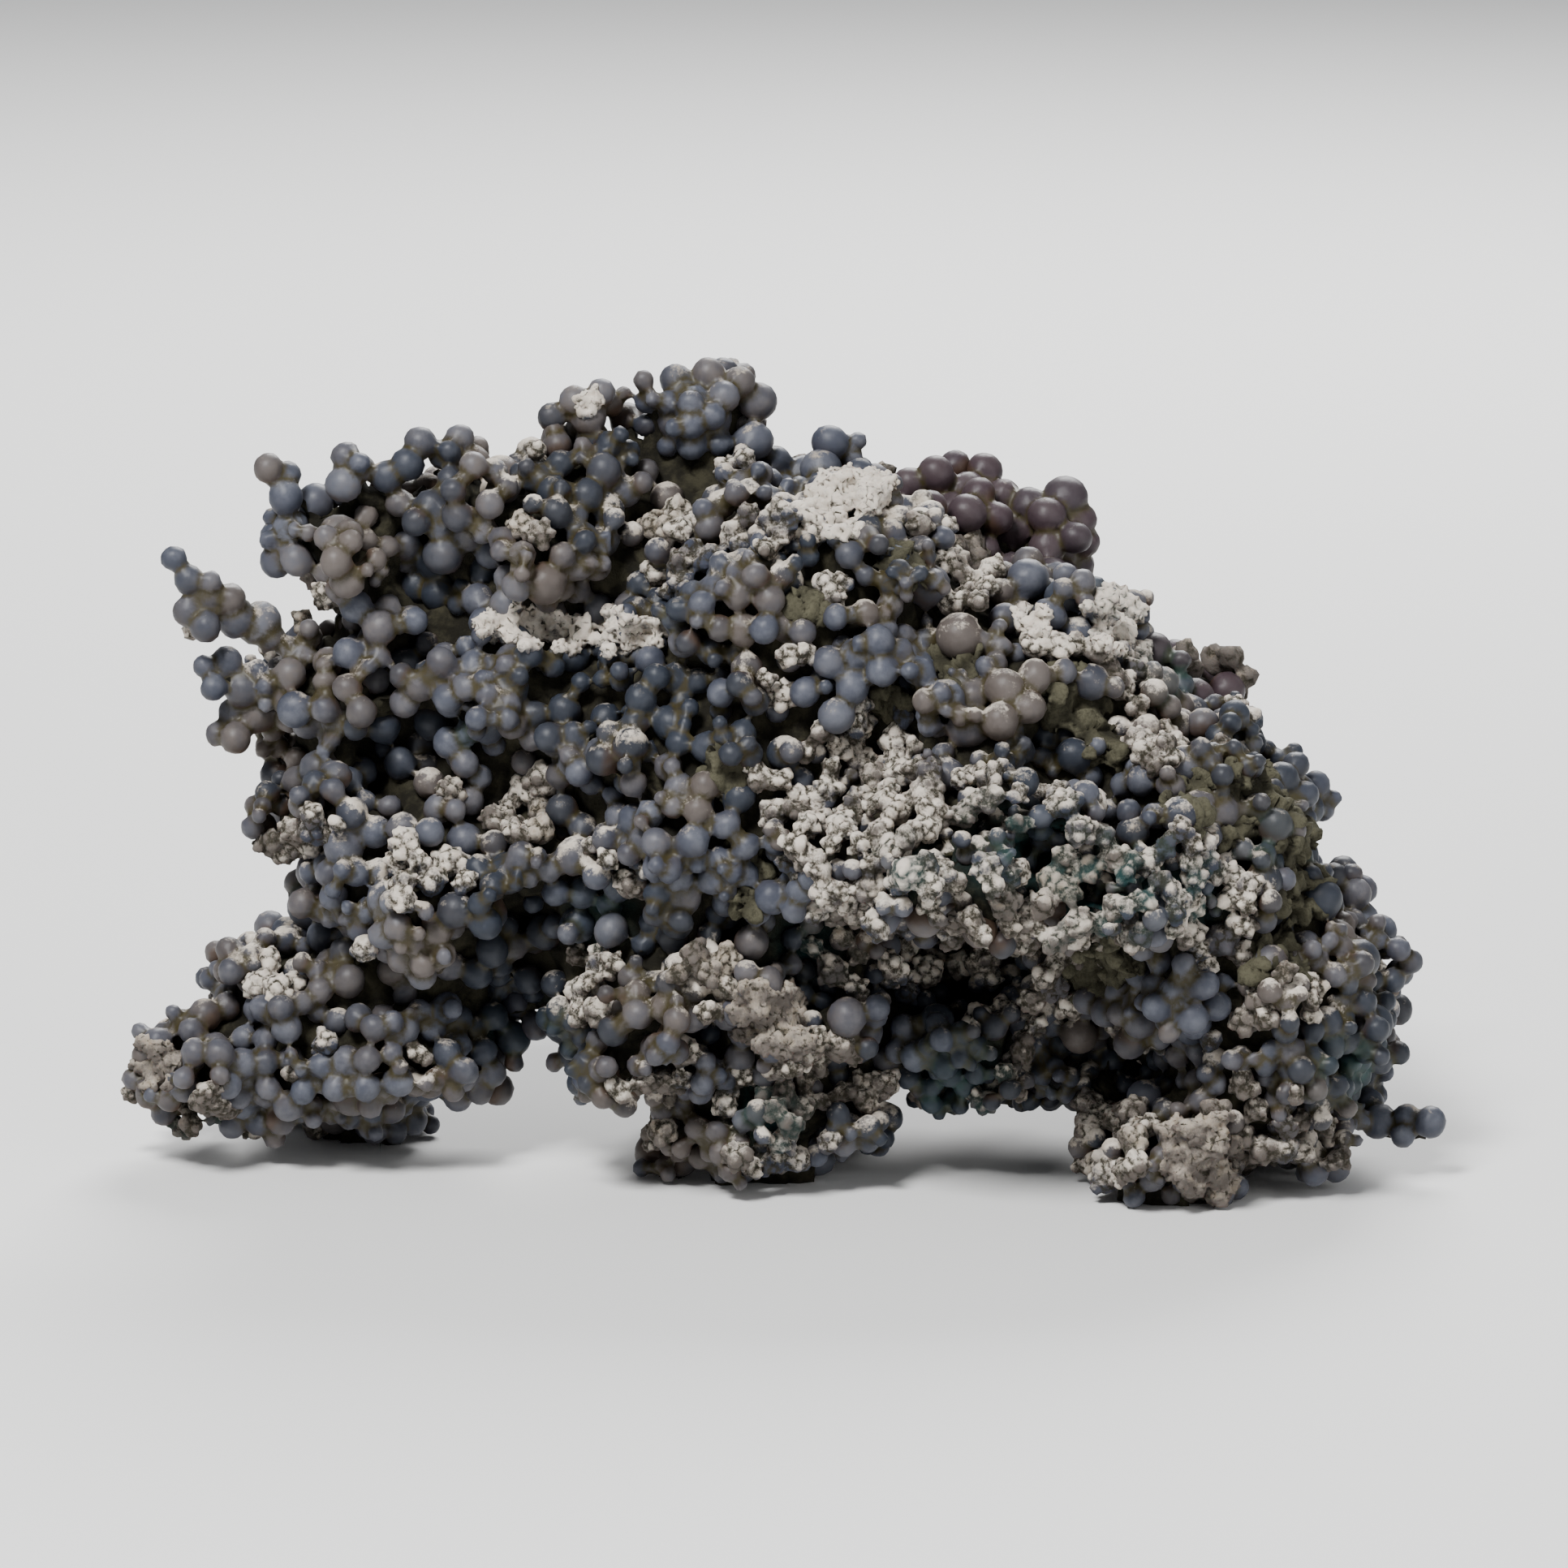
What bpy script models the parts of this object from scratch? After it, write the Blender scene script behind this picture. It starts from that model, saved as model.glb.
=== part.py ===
"""Botryoidal chalcedony: one loose specimen of grape-like knobs of chalcedony, grown together in one piece.

Metres, +Z up. X runs along the specimen, -Y is the side it is looked at from, and the origin is the
middle of its base. It stands on flat worn feet at Z = 0, with two low arches between them.
"""

import math
import random

import bmesh
import bpy
from mathutils import Matrix, Vector, noise

MM = 0.001
NODE_NAME = "chalcedony_cluster"
COLLECTION_NAME = "botryoidal_chalcedony"

# Driving sizes, in mm
LENGTH = 130.0
CORE_VOXEL = 1.1
SKIN_VOXEL = 0.62
CORE_SMOOTHING = 10
SKIN_SMOOTHING = 1
SWELL_HEIGHT = 1.5
SWELL_LENGTH = 15.0
KNOB_SPACING = 6.9
KNOB_SPACING_SPREAD = 0.24
KNOB_RADIUS_SHARE = 0.57
KNOB_RADIUS_SPREAD = (0.88, 1.1)
KNOB_SINK = 0.30
KNOB_GROUP_LENGTH = 16.0
KNOB_TRIES = 14000
TWIN_SHARE = 0.10
TWIN_RADIUS_SHARE = (0.6, 0.75)
TWIN_RISE = 0.675
TWIN_LEAN = 0.585
SMALLEST_BEAD = 2.0
BALL_REACH = 2.4
FOOT_CUT = 0.6
EVEN_TRIANGLES = 20000
MOST_TRIANGLES = 9600
SEED = 31

# The lumps that make up the body: centre and radii, in mm
CORE_LUMPS = {
    "right shoulder": ((22, 4, 44.5), (16.5, 24, 14.5)),
    "right flank": ((34.5, 2, 31), (17, 24, 18)),
    "lower right": ((47, 0, 17), (12.5, 19, 14)),
    "right foot front": ((37, -9, 6), (8, 10, 6)),
    "right foot side": ((49, -2, 7), (8, 12, 4)),
    "right foot back": ((42, 14, 3), (9, 9, 6)),
    "belly": ((21, -13, 35), (23, 16, 10)),
    "crown": ((2, 6, 55), (18, 20, 14)),
    "centre": ((-5, 4, 38), (21, 21, 19)),
    "top knob": ((-7, 13, 71), (4, 6, 6)),
    "top knob base": ((-8, 11, 65), (8, 9, 5)),
    "top left lump": ((-19, 10, 70), (6, 7, 5)),
    "left crest": ((-27, 8, 62), (15, 12, 8)),
    "left peak": ((-45, 6, 62), (5, 8, 6)),
    "left body": ((-32, 8, 47), (19, 15, 10)),
    "left waist": ((-40.5, 7, 35), (10.5, 13, 10)),
    "lower left body": ((-29, 5, 28), (20, 17, 10)),
    "leg": ((-42, 6, 13), (15, 14, 7)),
    "leg shoulder": ((-48, 7, 17), (9, 11, 7)),
    "leg tip": ((-56, 4, 10), (6, 9, 5)),
    "leg foot": ((-43, 15, 5), (6, 8, 6)),
    "leg foot back": ((-45, 20, 4), (7, 7, 6)),
    "middle lower": ((-8, -1, 19.5), (19, 18, 9.5)),
    "middle lump": ((-1, -3, 8), (11, 12, 6)),
    "middle foot": ((-2, -2, 4), (7, 7, 5)),
    "middle foot small": ((-12.5, -3, 5), (2.5, 4, 4)),
    "middle foot back": ((-3, 14, 4), (9, 8, 6)),
    "middle bump": ((-20.5, 2, 13.5), (3, 7, 4)),
    "bridge": ((19, 4, 14), (16, 15, 7)),
    "back crest": ((17.5, 18, 61), (8.5, 9, 5.5)),
    "back crest tip": ((26, 17, 60.5), (3.5, 6, 5.5)),
    "back ridge": ((40, 16, 44), (5, 9, 6)),
    "back slope": ((10, 17, 33), (34, 12, 23)),
}

# Hollows pressed into the front of the body: centre, reach and depth, in mm
HOLLOWS = {
    "wing cleft": ((-35, -3, 61), 4.5, 7),
    "wing pit": ((-38, -5, 52), 3.5, 5),
    "waist cleft left": ((-42, -4, 43), 3.5, 5),
    "waist cleft": ((-34, -6, 43), 4.5, 6),
    "seam pit": ((-21, -13, 38), 3.0, 5),
    "leg cleft": ((-26, -9, 20), 5.0, 7),
    "leg cleft top": ((-23, -12, 27), 3.5, 4),
    "shoulder cave": ((29, -18, 50), 5.5, 7),
    "teal pit": ((26, -27, 35), 4.0, 5),
    "under belly left": ((3, -20, 24), 5.0, 6),
    "under belly": ((13, -20, 22), 6.5, 8),
    "under belly right": ((25, -20, 21), 6.5, 8),
    "foot cleft": ((28, -12, 12), 5.0, 6),
    "middle cleft": ((-7, -16, 16), 4.0, 4),
}

# Runs of separate balls that stand out of the outline: centre and radius of each ball, in mm
BALL_RUNS = {
    "left finger": [
        (-59.3, 3, 60.5, 1.5), (-57.6, 3, 57.8, 1.8), (-55.6, 4, 55.5, 2.2),
        (-57.6, 3, 54.6, 1.7), (-53.4, 5, 54.2, 2.2), (-51.2, 6, 53.4, 2.6),
    ],
    "left twig": [(-55.4, 5, 42.6, 1.4), (-53.6, 5, 43.6, 1.7), (-51.6, 6, 44.4, 2.2)],
    "left knot": [(-56.6, 4, 49.6, 1.4), (-55.0, 4, 48.2, 1.7), (-52.8, 5, 47.2, 2.2)],
    "leg spikes": [
        (-63.2, 3, 13.2, 1.3), (-62.6, 3, 10.6, 1.9), (-64.0, 3, 8.3, 1.4),
        (-60.4, 3, 9.4, 2.5), (-60.9, 2, 5.2, 1.6), (-59.2, 3, 6.6, 2.0),
    ],
    "leg drops": [
        (-51.6, 1, 4.4, 1.6), (-50.6, 2, 6.2, 2.0), (-40.4, 6, 2.2, 1.5), (-40.8, 6, 4.2, 1.9),
    ],
    "right ball": [(63.0, -4, 5.8, 1.8), (60.6, -3, 5.4, 1.6), (58.0, -2, 5.6, 1.9)],
    "top balls": [
        (-13.7, 10, 76.8, 1.4), (-13.4, 11, 74.6, 1.5), (-10.6, 12, 76.6, 1.9),
        (-7.4, 12, 77.6, 1.9), (-4.4, 12, 76.4, 1.9), (-2.6, 13, 74.2, 2.3),
        (-7.0, 12, 73.8, 2.4), (-10.6, 11, 72.6, 2.2), (-3.0, 12, 70.6, 2.2),
    ],
    "wing balls": [
        (-50.1, 4, 69.2, 1.7), (-42.6, 5, 70.2, 1.8), (-39.2, 5, 68.2, 2.1),
        (-35.4, 6, 71.0, 2.1), (-32.1, 7, 71.4, 1.8), (-48.4, 4, 67.2, 1.9),
    ],
    "notch finger": [(7.2, 10, 70.6, 1.4), (6.6, 10, 68.6, 1.6), (6.0, 10, 66.6, 1.8)],
}

# The finish of the bare solid
GRAPE_COLOUR = (0.33, 0.34, 0.37, 1.0)
GRAPE_ROUGHNESS = 0.42
SHARP_ANGLE = math.radians(48)
FLAT_FOOT_NORMAL = -0.999


def clear_scene():
    for old in list(bpy.data.objects):
        bpy.data.objects.remove(old, do_unlink=True)


def collection_named(name):
    made = bpy.data.collections.new(name)
    bpy.context.scene.collection.children.link(made)
    return made


def add_ball(bm, centre, radii, finish):
    """One ball or ellipsoid in bm, with its centre and radii in mm."""
    place = Matrix.Translation(Vector(centre) * MM)
    stretch = Matrix.Diagonal((*(Vector(radii) * MM), 1.0))
    bmesh.ops.create_icosphere(bm, subdivisions=finish, radius=1.0, matrix=place @ stretch)


def mesh_object(name, bm, collection):
    mesh = bpy.data.meshes.new(name)
    bm.to_mesh(mesh)
    bm.free()
    obj = bpy.data.objects.new(name, mesh)
    collection.objects.link(obj)
    return obj


def apply_modifiers(obj):
    graph = bpy.context.evaluated_depsgraph_get()
    baked = bpy.data.meshes.new_from_object(obj.evaluated_get(graph))
    obj.modifiers.clear()
    obj.data = baked


def fuse(obj, voxel, smoothing):
    """Joins every overlapping ball in obj into one skin with faces about voxel mm wide."""
    remesh = obj.modifiers.new("fuse", "REMESH")
    remesh.mode = "VOXEL"
    remesh.voxel_size = voxel * MM
    ease = obj.modifiers.new("ease", "SMOOTH")
    ease.factor = 0.5
    ease.iterations = smoothing
    apply_modifiers(obj)


def keep_outer_skin(bm):
    """Removes everything but the largest closed skin, such as the walls of pockets sealed inside."""
    unseen = set(bm.verts)
    skins = []
    while unseen:
        reached = {unseen.pop()}
        edge_of_search = list(reached)
        while edge_of_search:
            near = {e.other_vert(v) for v in edge_of_search for e in v.link_edges} - reached
            reached |= near
            edge_of_search = list(near)
        unseen -= reached
        skins.append(reached)
    skins.sort(key=len)
    inner = [v for skin in skins[:-1] for v in skin]
    bmesh.ops.delete(bm, geom=inner, context="VERTS")


def core_body(collection):
    """The body without its knobs: lumps joined, swollen unevenly, with the hollows pressed in."""
    bm = bmesh.new()
    for centre, radii in CORE_LUMPS.values():
        add_ball(bm, centre, radii, 4)
    core = mesh_object("core", bm, collection)
    fuse(core, CORE_VOXEL, CORE_SMOOTHING)
    mesh = core.data
    normals = [v.normal.copy() for v in mesh.vertices]
    for vertex, normal in zip(mesh.vertices, normals):
        swell = noise.fractal(vertex.co / (SWELL_LENGTH * MM), 0.9, 2.2, 3)
        move = swell * SWELL_HEIGHT
        for centre, reach, depth in HOLLOWS.values():
            away = (vertex.co / MM - Vector(centre)).length / (2 * reach)
            if away < 1:
                move -= depth * (1 - away * away) ** 2
        vertex.co += normal * move * MM
    return core


def points_on(mesh, spacing_at, tries, rng):
    """Points spread over the mesh, no two nearer than their spacing, each with its normal and spacing."""
    mesh.calc_loop_triangles()
    triangles = list(mesh.loop_triangles)
    chosen = rng.choices(triangles, weights=[t.area for t in triangles], k=tries)
    cell = KNOB_SPACING * (1 + KNOB_SPACING_SPREAD) * MM
    grid = {}
    kept = []
    for triangle in chosen:
        a, b, c = (mesh.vertices[i].co for i in triangle.vertices)
        s, t = rng.random(), rng.random()
        if s + t > 1:
            s, t = 1 - s, 1 - t
        point = a + (b - a) * s + (c - a) * t
        spacing = spacing_at(point)
        key = tuple(math.floor(x / cell) for x in point)
        near = (
            other
            for dx in (-1, 0, 1) for dy in (-1, 0, 1) for dz in (-1, 0, 1)
            for other in grid.get((key[0] + dx, key[1] + dy, key[2] + dz), ())
        )
        if any((point - other).length < min(spacing, gap) for other, gap in near):
            continue
        grid.setdefault(key, []).append((point, spacing))
        kept.append((point, triangle.normal.copy(), spacing))
    return kept


def knob_spacing(point):
    """Knobs are larger and further apart in some places than in others."""
    group = noise.noise(point / (KNOB_GROUP_LENGTH * MM))
    return KNOB_SPACING * (1 + KNOB_SPACING_SPREAD * group) * MM


def knobs_on(core, collection):
    """Every knob of the surface and every ball of the runs, still as loose balls."""
    rng = random.Random(SEED)
    bm = bmesh.new()
    for point, normal, spacing in points_on(core.data, knob_spacing, KNOB_TRIES, rng):
        radius = spacing / MM * KNOB_RADIUS_SHARE * rng.uniform(*KNOB_RADIUS_SPREAD)
        centre = point / MM - normal * radius * KNOB_SINK
        add_ball(bm, centre, (radius, radius, radius), 3)
        if rng.random() < TWIN_SHARE:
            aside = normal.orthogonal().normalized()
            aside.rotate(Matrix.Rotation(rng.uniform(0, math.tau), 3, normal))
            twin = radius * rng.uniform(*TWIN_RADIUS_SHARE)
            lean = (normal * TWIN_RISE + aside * TWIN_LEAN) * radius
            add_ball(bm, centre + lean, (twin, twin, twin), 3)
    for run in BALL_RUNS.values():
        for x, y, z, radius in run:
            size = max(radius, SMALLEST_BEAD)
            add_ball(bm, (x, y, z), (size, size, size), 3)
    return mesh_object("knobs", bm, collection)


def all_but_balls(obj):
    """A vertex group with everything except the balls of the runs."""
    group = obj.vertex_groups.new(name="all but balls")
    balls = [Vector(ball[:3]) for run in BALL_RUNS.values() for ball in run]
    for vertex in obj.data.vertices:
        if all((vertex.co / MM - ball).length > BALL_REACH for ball in balls):
            group.add([vertex.index], 1.0, "REPLACE")
    return group.name


def thin_out(obj, most_triangles, group_name=""):
    """Collapses the flattest edges, in the group if there is one, until few enough triangles are left."""
    obj.data.calc_loop_triangles()
    collapse = obj.modifiers.new("thin out", "DECIMATE")
    collapse.decimate_type = "COLLAPSE"
    collapse.ratio = most_triangles / len(obj.data.loop_triangles)
    collapse.use_collapse_triangulate = True
    collapse.vertex_group = group_name
    apply_modifiers(obj)


def cut_feet(bm, height):
    """Cuts the feet off flat at height mm and closes each cut with a face."""
    level = Vector((0, 0, height * MM))
    whole = bm.verts[:] + bm.edges[:] + bm.faces[:]
    bmesh.ops.bisect_plane(bm, geom=whole, plane_co=level, plane_no=(0, 0, -1), clear_outer=True)
    rims = [e for e in bm.edges if e.is_boundary]
    bmesh.ops.holes_fill(bm, edges=rims, sides=0)


def stand_on_origin(bm):
    """Moves the body so that the origin is the middle of its base, and brings it to its length."""
    low = [min(v.co[i] for v in bm.verts) for i in range(3)]
    high = [max(v.co[i] for v in bm.verts) for i in range(3)]
    base = Vector(((low[0] + high[0]) / 2, (low[1] + high[1]) / 2, low[2]))
    bmesh.ops.translate(bm, verts=bm.verts, vec=-base)
    bmesh.ops.scale(bm, verts=bm.verts, vec=[LENGTH * MM / (high[0] - low[0])] * 3)


def chalcedony_material():
    material = bpy.data.materials.new("chalcedony")
    material.use_nodes = True
    shader = material.node_tree.nodes["Principled BSDF"]
    shader.inputs["Base Color"].default_value = GRAPE_COLOUR
    shader.inputs["Roughness"].default_value = GRAPE_ROUGHNESS
    shader.inputs["Metallic"].default_value = 0.0
    return material


def build_specimen():
    clear_scene()
    parts = collection_named(COLLECTION_NAME)
    core = core_body(parts)
    knobs = knobs_on(core, parts)
    both = bmesh.new()
    both.from_mesh(core.data)
    both.from_mesh(knobs.data)
    bpy.data.objects.remove(core)
    bpy.data.objects.remove(knobs)
    specimen = mesh_object(NODE_NAME, both, parts)
    fuse(specimen, SKIN_VOXEL, SKIN_SMOOTHING)
    thin_out(specimen, EVEN_TRIANGLES)
    thin_out(specimen, MOST_TRIANGLES, all_but_balls(specimen))
    skin = bmesh.new()
    skin.from_mesh(specimen.data)
    keep_outer_skin(skin)
    cut_feet(skin, FOOT_CUT)
    keep_outer_skin(skin)
    stand_on_origin(skin)
    skin.to_mesh(specimen.data)
    skin.free()
    specimen.data.materials.append(chalcedony_material())
    specimen.data.shade_smooth()
    specimen.data.set_sharp_from_angle(angle=SHARP_ANGLE)
    for face in specimen.data.polygons:
        if face.normal.z < FLAT_FOOT_NORMAL:
            face.use_smooth = False
    return specimen


build_specimen()
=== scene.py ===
import math
import random
import time
from itertools import product

import bmesh
import bpy
import numpy as np
from mathutils import Matrix, Vector, noise
from mathutils.bvhtree import BVHTree
from mathutils.kdtree import KDTree


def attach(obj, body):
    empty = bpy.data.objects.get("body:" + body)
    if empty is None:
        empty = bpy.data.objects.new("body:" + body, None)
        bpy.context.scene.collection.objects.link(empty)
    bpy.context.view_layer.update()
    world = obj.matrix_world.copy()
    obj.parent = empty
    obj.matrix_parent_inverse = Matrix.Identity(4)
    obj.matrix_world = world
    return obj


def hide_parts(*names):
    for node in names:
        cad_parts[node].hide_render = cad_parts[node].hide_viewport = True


mm = 0.001
began = time.perf_counter()


def report(*words):
    print("scene:", round(time.perf_counter() - began, 1), "s,", *words)


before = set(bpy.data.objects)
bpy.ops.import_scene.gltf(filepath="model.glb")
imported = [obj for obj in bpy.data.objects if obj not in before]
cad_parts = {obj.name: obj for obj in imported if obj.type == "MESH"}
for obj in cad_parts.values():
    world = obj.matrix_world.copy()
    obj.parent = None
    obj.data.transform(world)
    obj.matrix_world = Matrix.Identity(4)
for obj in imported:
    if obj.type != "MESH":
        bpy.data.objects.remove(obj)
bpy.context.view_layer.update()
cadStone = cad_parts["chalcedony_cluster"]

# How the specimen is seen from the front, 12 degrees up. Places there are across and up, in mm
viewTilt = math.radians(12)
viewUp = Vector((0, math.sin(viewTilt), math.cos(viewTilt)))
viewIn = Vector((0, math.cos(viewTilt), -math.sin(viewTilt)))
viewBase = 3.33
rayLength = 0.2  # how far before the stone a ray begins, in m


def seenAt(point):
    return point[0] / mm, (point[1] * viewUp.y + point[2] * viewUp.z) / mm + viewBase


def seenRay(across, up):
    return Vector((across * mm, 0, 0)) + viewUp * (up - viewBase) * mm - viewIn * rayLength


# Where each finish shows on the front: (across, up, reach) in mm
popcornPatches = [
    (-0.5, 51.9, 2.9), (-11.5, 62.2, 2.1), (-6.8, 64.5, 2), (-4.8, 67.7, 1.7), (-10.7, 67.3, 1.6),
    (-14.7, 66.9, 1.9), (-24.6, 66.9, 1.8), (-0.5, 66.1, 2.2), (1.9, 66.9, 1.6), (13, 66.9, 1.7),
    (18.9, 63, 2.4), (18.5, 59.4, 2.1), (4.3, 60.2, 1.4), (0.3, 60.6, 1.3), (25.6, 55.5, 2.8),
    (33.1, 54.3, 3.2), (33.9, 50.3, 2.3), (35.9, 45.2, 2.7), (32.7, 46.4, 1.8), (26.4, 40.4, 1.7),
    (9, 46, 2.9), (5.8, 45.6, 1.8), (2.7, 44.8, 2.1), (-0.5, 40, 2.4), (41.4, 33.7, 2.8),
    (44.6, 30.6, 2.3), (37.4, 35.3, 2.4), (29.5, 36.1, 2.3), (25.6, 19.5, 2.8), (-47.1, 59.4, 2.2),
    (-51.4, 54.3, 1.8), (-25.8, 38.5, 2.8), (-37.6, 32.9, 3.2), (-46.3, 36.1, 2.6), (-43.1, 37.3, 1.8),
    (-50.2, 33.7, 1.8), (-51, 30.6, 1.4), (-17.9, 33.7, 2.6), (-15.5, 31.4, 1.8), (-32.1, 32.2, 2),
    (-50.2, 23.5, 2.4), (-45.9, 16.7, 1.6), (-47.9, 11.6, 1), (-35.6, 13.2, 2), (-19.4, 23.5, 2),
    (-6.8, 21.9, 3), (1.9, 16, 2), (-14.7, 11.6, 1.8), (-10.7, 12.4, 1.4), (9, 10.8, 1.8),
    (22.4, 14.4, 2), (29.5, 10.8, 1.6), (51.7, 6.1, 2.8), (30.7, 3.7, 2.2), (51.7, 20.7, 2.2),
    (44.2, 19.1, 1.7), (41.4, 15.6, 1.7), (21, 49.6, 1.3), (-33.3, 41.6, 1.7), (-28.1, 69.7, 1.3),
    (-23.8, 74.4, 1.3), (-5.2, 72.7, 1.2), (-15.5, 44.8, 1.3), (-1, 4.5, 2.4), (-21, 19.5, 1.8),
]
bellyPatches = [
    (4, 37.5, 6.5), (12.5, 37, 7), (19, 39.5, 5), (8.5, 30.5, 7), (17, 30.5, 7.5),
    (24, 27, 6), (28, 33, 4.5), (12, 25.5, 5), (20, 23.5, 4.5), (6, 25, 4),
    (27.5, 24, 4), (34, 33.5, 3.5), (38, 29, 4), (33, 28, 4), (42, 26, 3),
]
drabPatches = [  # small tan knobs on the feet
    (0, 8, 6.5), (8, 11, 4), (33, 8, 5), (44, 7, 6), (50, 9, 4),
    (-13, 10, 3.5), (3, 14, 4), (-57, 8, 4), (-8, 24, 4), (47, 20, 4),
]
platePatches = [
    (5.8, 68.5, 3.5, "white"), (8.6, 70, 2, "white"), (-21, 56.2, 1.9, "white"),
    (-25, 56.6, 2, "white"), (-16.3, 55.9, 2.1, "white"), (-13.1, 55.9, 1.5, "white"),
    (-28.5, 56.6, 1.4, "white"), (31.9, 57.8, 2.9, "green"), (-61.2, 13.6, 2.4, "tan"),
    (-1.3, 18.7, 3.4, "tan"), (0.6, 16.6, 2.2, "tan"), (39.8, 5.6, 3.8, "tan"), (40.6, 2.4, 2.6, "tan"),
    (-19, 78.6, 1.2, "white"), (24, 57, 1.8, "white"), (32, 55.6, 2, "white"),
]
clayPatches = [
    (-4.8, 42.8, 2.7), (1.9, 58.2, 2), (11.4, 62.2, 2), (16.9, 52.7, 2.5), (9.8, 49.5, 2),
    (28, 49.1, 3), (30.3, 44.8, 2.6), (44.6, 39.3, 4.2), (39.2, 39.3, 3), (30.3, 23.5, 3.4),
    (-2.8, 30.6, 2.2), (47.7, 24.3, 3.2), (50, 30.6, 3), (48.6, 36.2, 2.6), (-3.4, 34, 1.6),
]
pitPatches = [
    (-35, 61.5, 2.9), (-36.5, 53.5, 2.7), (-38.5, 51.5, 2), (-34.5, 44.8, 3.6), (-40, 45.5, 2.4),
    (-21.3, 38, 2.4), (-25.6, 22, 4), (-24.6, 27.5, 2.8), (24.5, 35, 2.4), (19.5, 37, 2),
    (10, 21.6, 2.6), (16.5, 21.2, 2.8), (22, 22.4, 2.4), (29, 15, 3), (35, 13, 2.6),
    (-5.5, 27.5, 2.2), (-8, 17, 2.6), (-46.5, 61, 1.8), (-29, 62.5, 1.8), (-42.5, 26.5, 2),
    (3, 21.5, 2.6), (33, 36.5, 1.8), (-36, 65.6, 2), (-41, 41, 2.2), (26, 45, 2),
    (14.6, 34.6, 1.3), (8.6, 34.2, 1.2), (21.6, 31.6, 1.6), (12.4, 28.6, 1.2), (29.6, 31, 1.6),
]
tealPatches = [
    (20.9, 35, 5), (26.5, 34, 5), (34.3, 31.4, 5), (39, 30.6, 4), (45.3, 36.1, 3.2),
    (-17.9, 28.2, 3.5), (-2, 9.2, 4), (55, 13.6, 4.5), (31.9, 60.5, 2.6), (37.4, 51.9, 3.2),
    (47.7, 48.7, 2.8), (16.9, 11.6, 6), (2.7, 25, 4), (-25, 15.6, 5), (29, 29, 4),
    (12, 33, 3), (50, 36, 3),
]
bluePatches = [
    (-22, 52.5, 4.5), (-15, 51.5, 4.5), (-10, 47, 4), (-10, 35, 5), (2.7, 62.5, 3.5),
    (-30, 20, 5), (5.5, 50.5, 4), (-8, 58, 3), (25, 15, 4), (-20, 31, 4),
    (-8, 77, 6),
]
warmPatches = [
    (-30, 72, 4), (-25, 62, 4.5), (-42, 64, 7), (-47, 56, 5), (18, 55.5, 3),
    (24, 51.5, 3), (-50, 45, 4), (-33, 42, 3.5), (-19.5, 78, 3.5), (52, 25, 6),
    (36, 46.5, 3), (20, 39, 3), (-9.5, 40, 3.5), (9, 59, 3.5), (-35, 26, 5),
]
shadePatches = [  # balls painted darker: partly their own darker tone, partly painted shade on the lower and shadowed parts of the front
    (-22, 70, 6), (-34, 71, 4), (-20, 52.5, 7), (-14, 46, 5), (-12, 60, 4),
    (2, 62, 3.5), (-8, 50, 5), (-24, 18, 8), (-10, 26, 5), (16, 12, 9),
    (-28, 30, 5), (-33, 60, 3), (24, 43, 4), (8, 12, 5), (33, 12, 5),
    (55, 18, 8), (50, 30, 6), (45, 44, 6), (-4, 42, 6), (-26, 76, 5),
    (-50, 42, 4), (-16, 74, 4), (10, 62, 4),
]


def patchStrength(patches, across, up, spread=1.0, shift=0.0):
    # 1 in the middle of a patch, 0 at its edge and beyond
    table = np.array([patch[:3] for patch in patches])
    away = np.hypot(np.subtract.outer(across, table[:, 0]), np.subtract.outer(up, table[:, 1]))
    return np.clip(1 - away / (table[:, 2] * spread) - shift, 0, 1).max(axis=-1)


# Mesh helpers


def finished(obj):
    graph = bpy.context.evaluated_depsgraph_get()
    made = bpy.data.meshes.new_from_object(obj.evaluated_get(graph))
    obj.modifiers.clear()
    obj.data = made


def remeshed(obj, voxel, easing):
    skin = obj.modifiers.new("skin", "REMESH")
    skin.mode = "VOXEL"
    skin.voxel_size = voxel * mm
    ease = obj.modifiers.new("ease", "SMOOTH")
    ease.factor = 0.5
    ease.iterations = easing
    finished(obj)


def thinned(obj, mostTriangles):
    thin = obj.modifiers.new("thin", "DECIMATE")
    thin.ratio = min(1.0, mostTriangles / sum(len(face.vertices) - 2 for face in obj.data.polygons))
    finished(obj)


def partsOf(made):
    # the separate parts of a mesh, each a list of its vertices
    unseen = set(made.verts)
    for start in made.verts:
        if start not in unseen:
            continue
        unseen.discard(start)
        part = [start]
        for vertex in part:  # grows while it is walked
            for edge in vertex.link_edges:
                other = edge.other_vert(vertex)
                if other in unseen:
                    unseen.discard(other)
                    part.append(other)
        yield part


def dropCrumbs(obj, leastVertices):
    # takes away separate parts too small to be a ball
    made = bmesh.new()
    made.from_mesh(obj.data)
    crumbs = [vertex for part in partsOf(made) if len(part) < leastVertices for vertex in part]
    bmesh.ops.delete(made, geom=crumbs, context="VERTS")
    made.to_mesh(obj.data)
    made.free()


def partTree(part):
    numbers = {vertex: count for count, vertex in enumerate(part)}
    faces = dict.fromkeys(face for vertex in part for face in vertex.link_faces)
    corners = [[numbers[vertex] for vertex in face.verts] for face in faces]
    return BVHTree.FromPolygons([vertex.co.copy() for vertex in part], corners)


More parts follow.
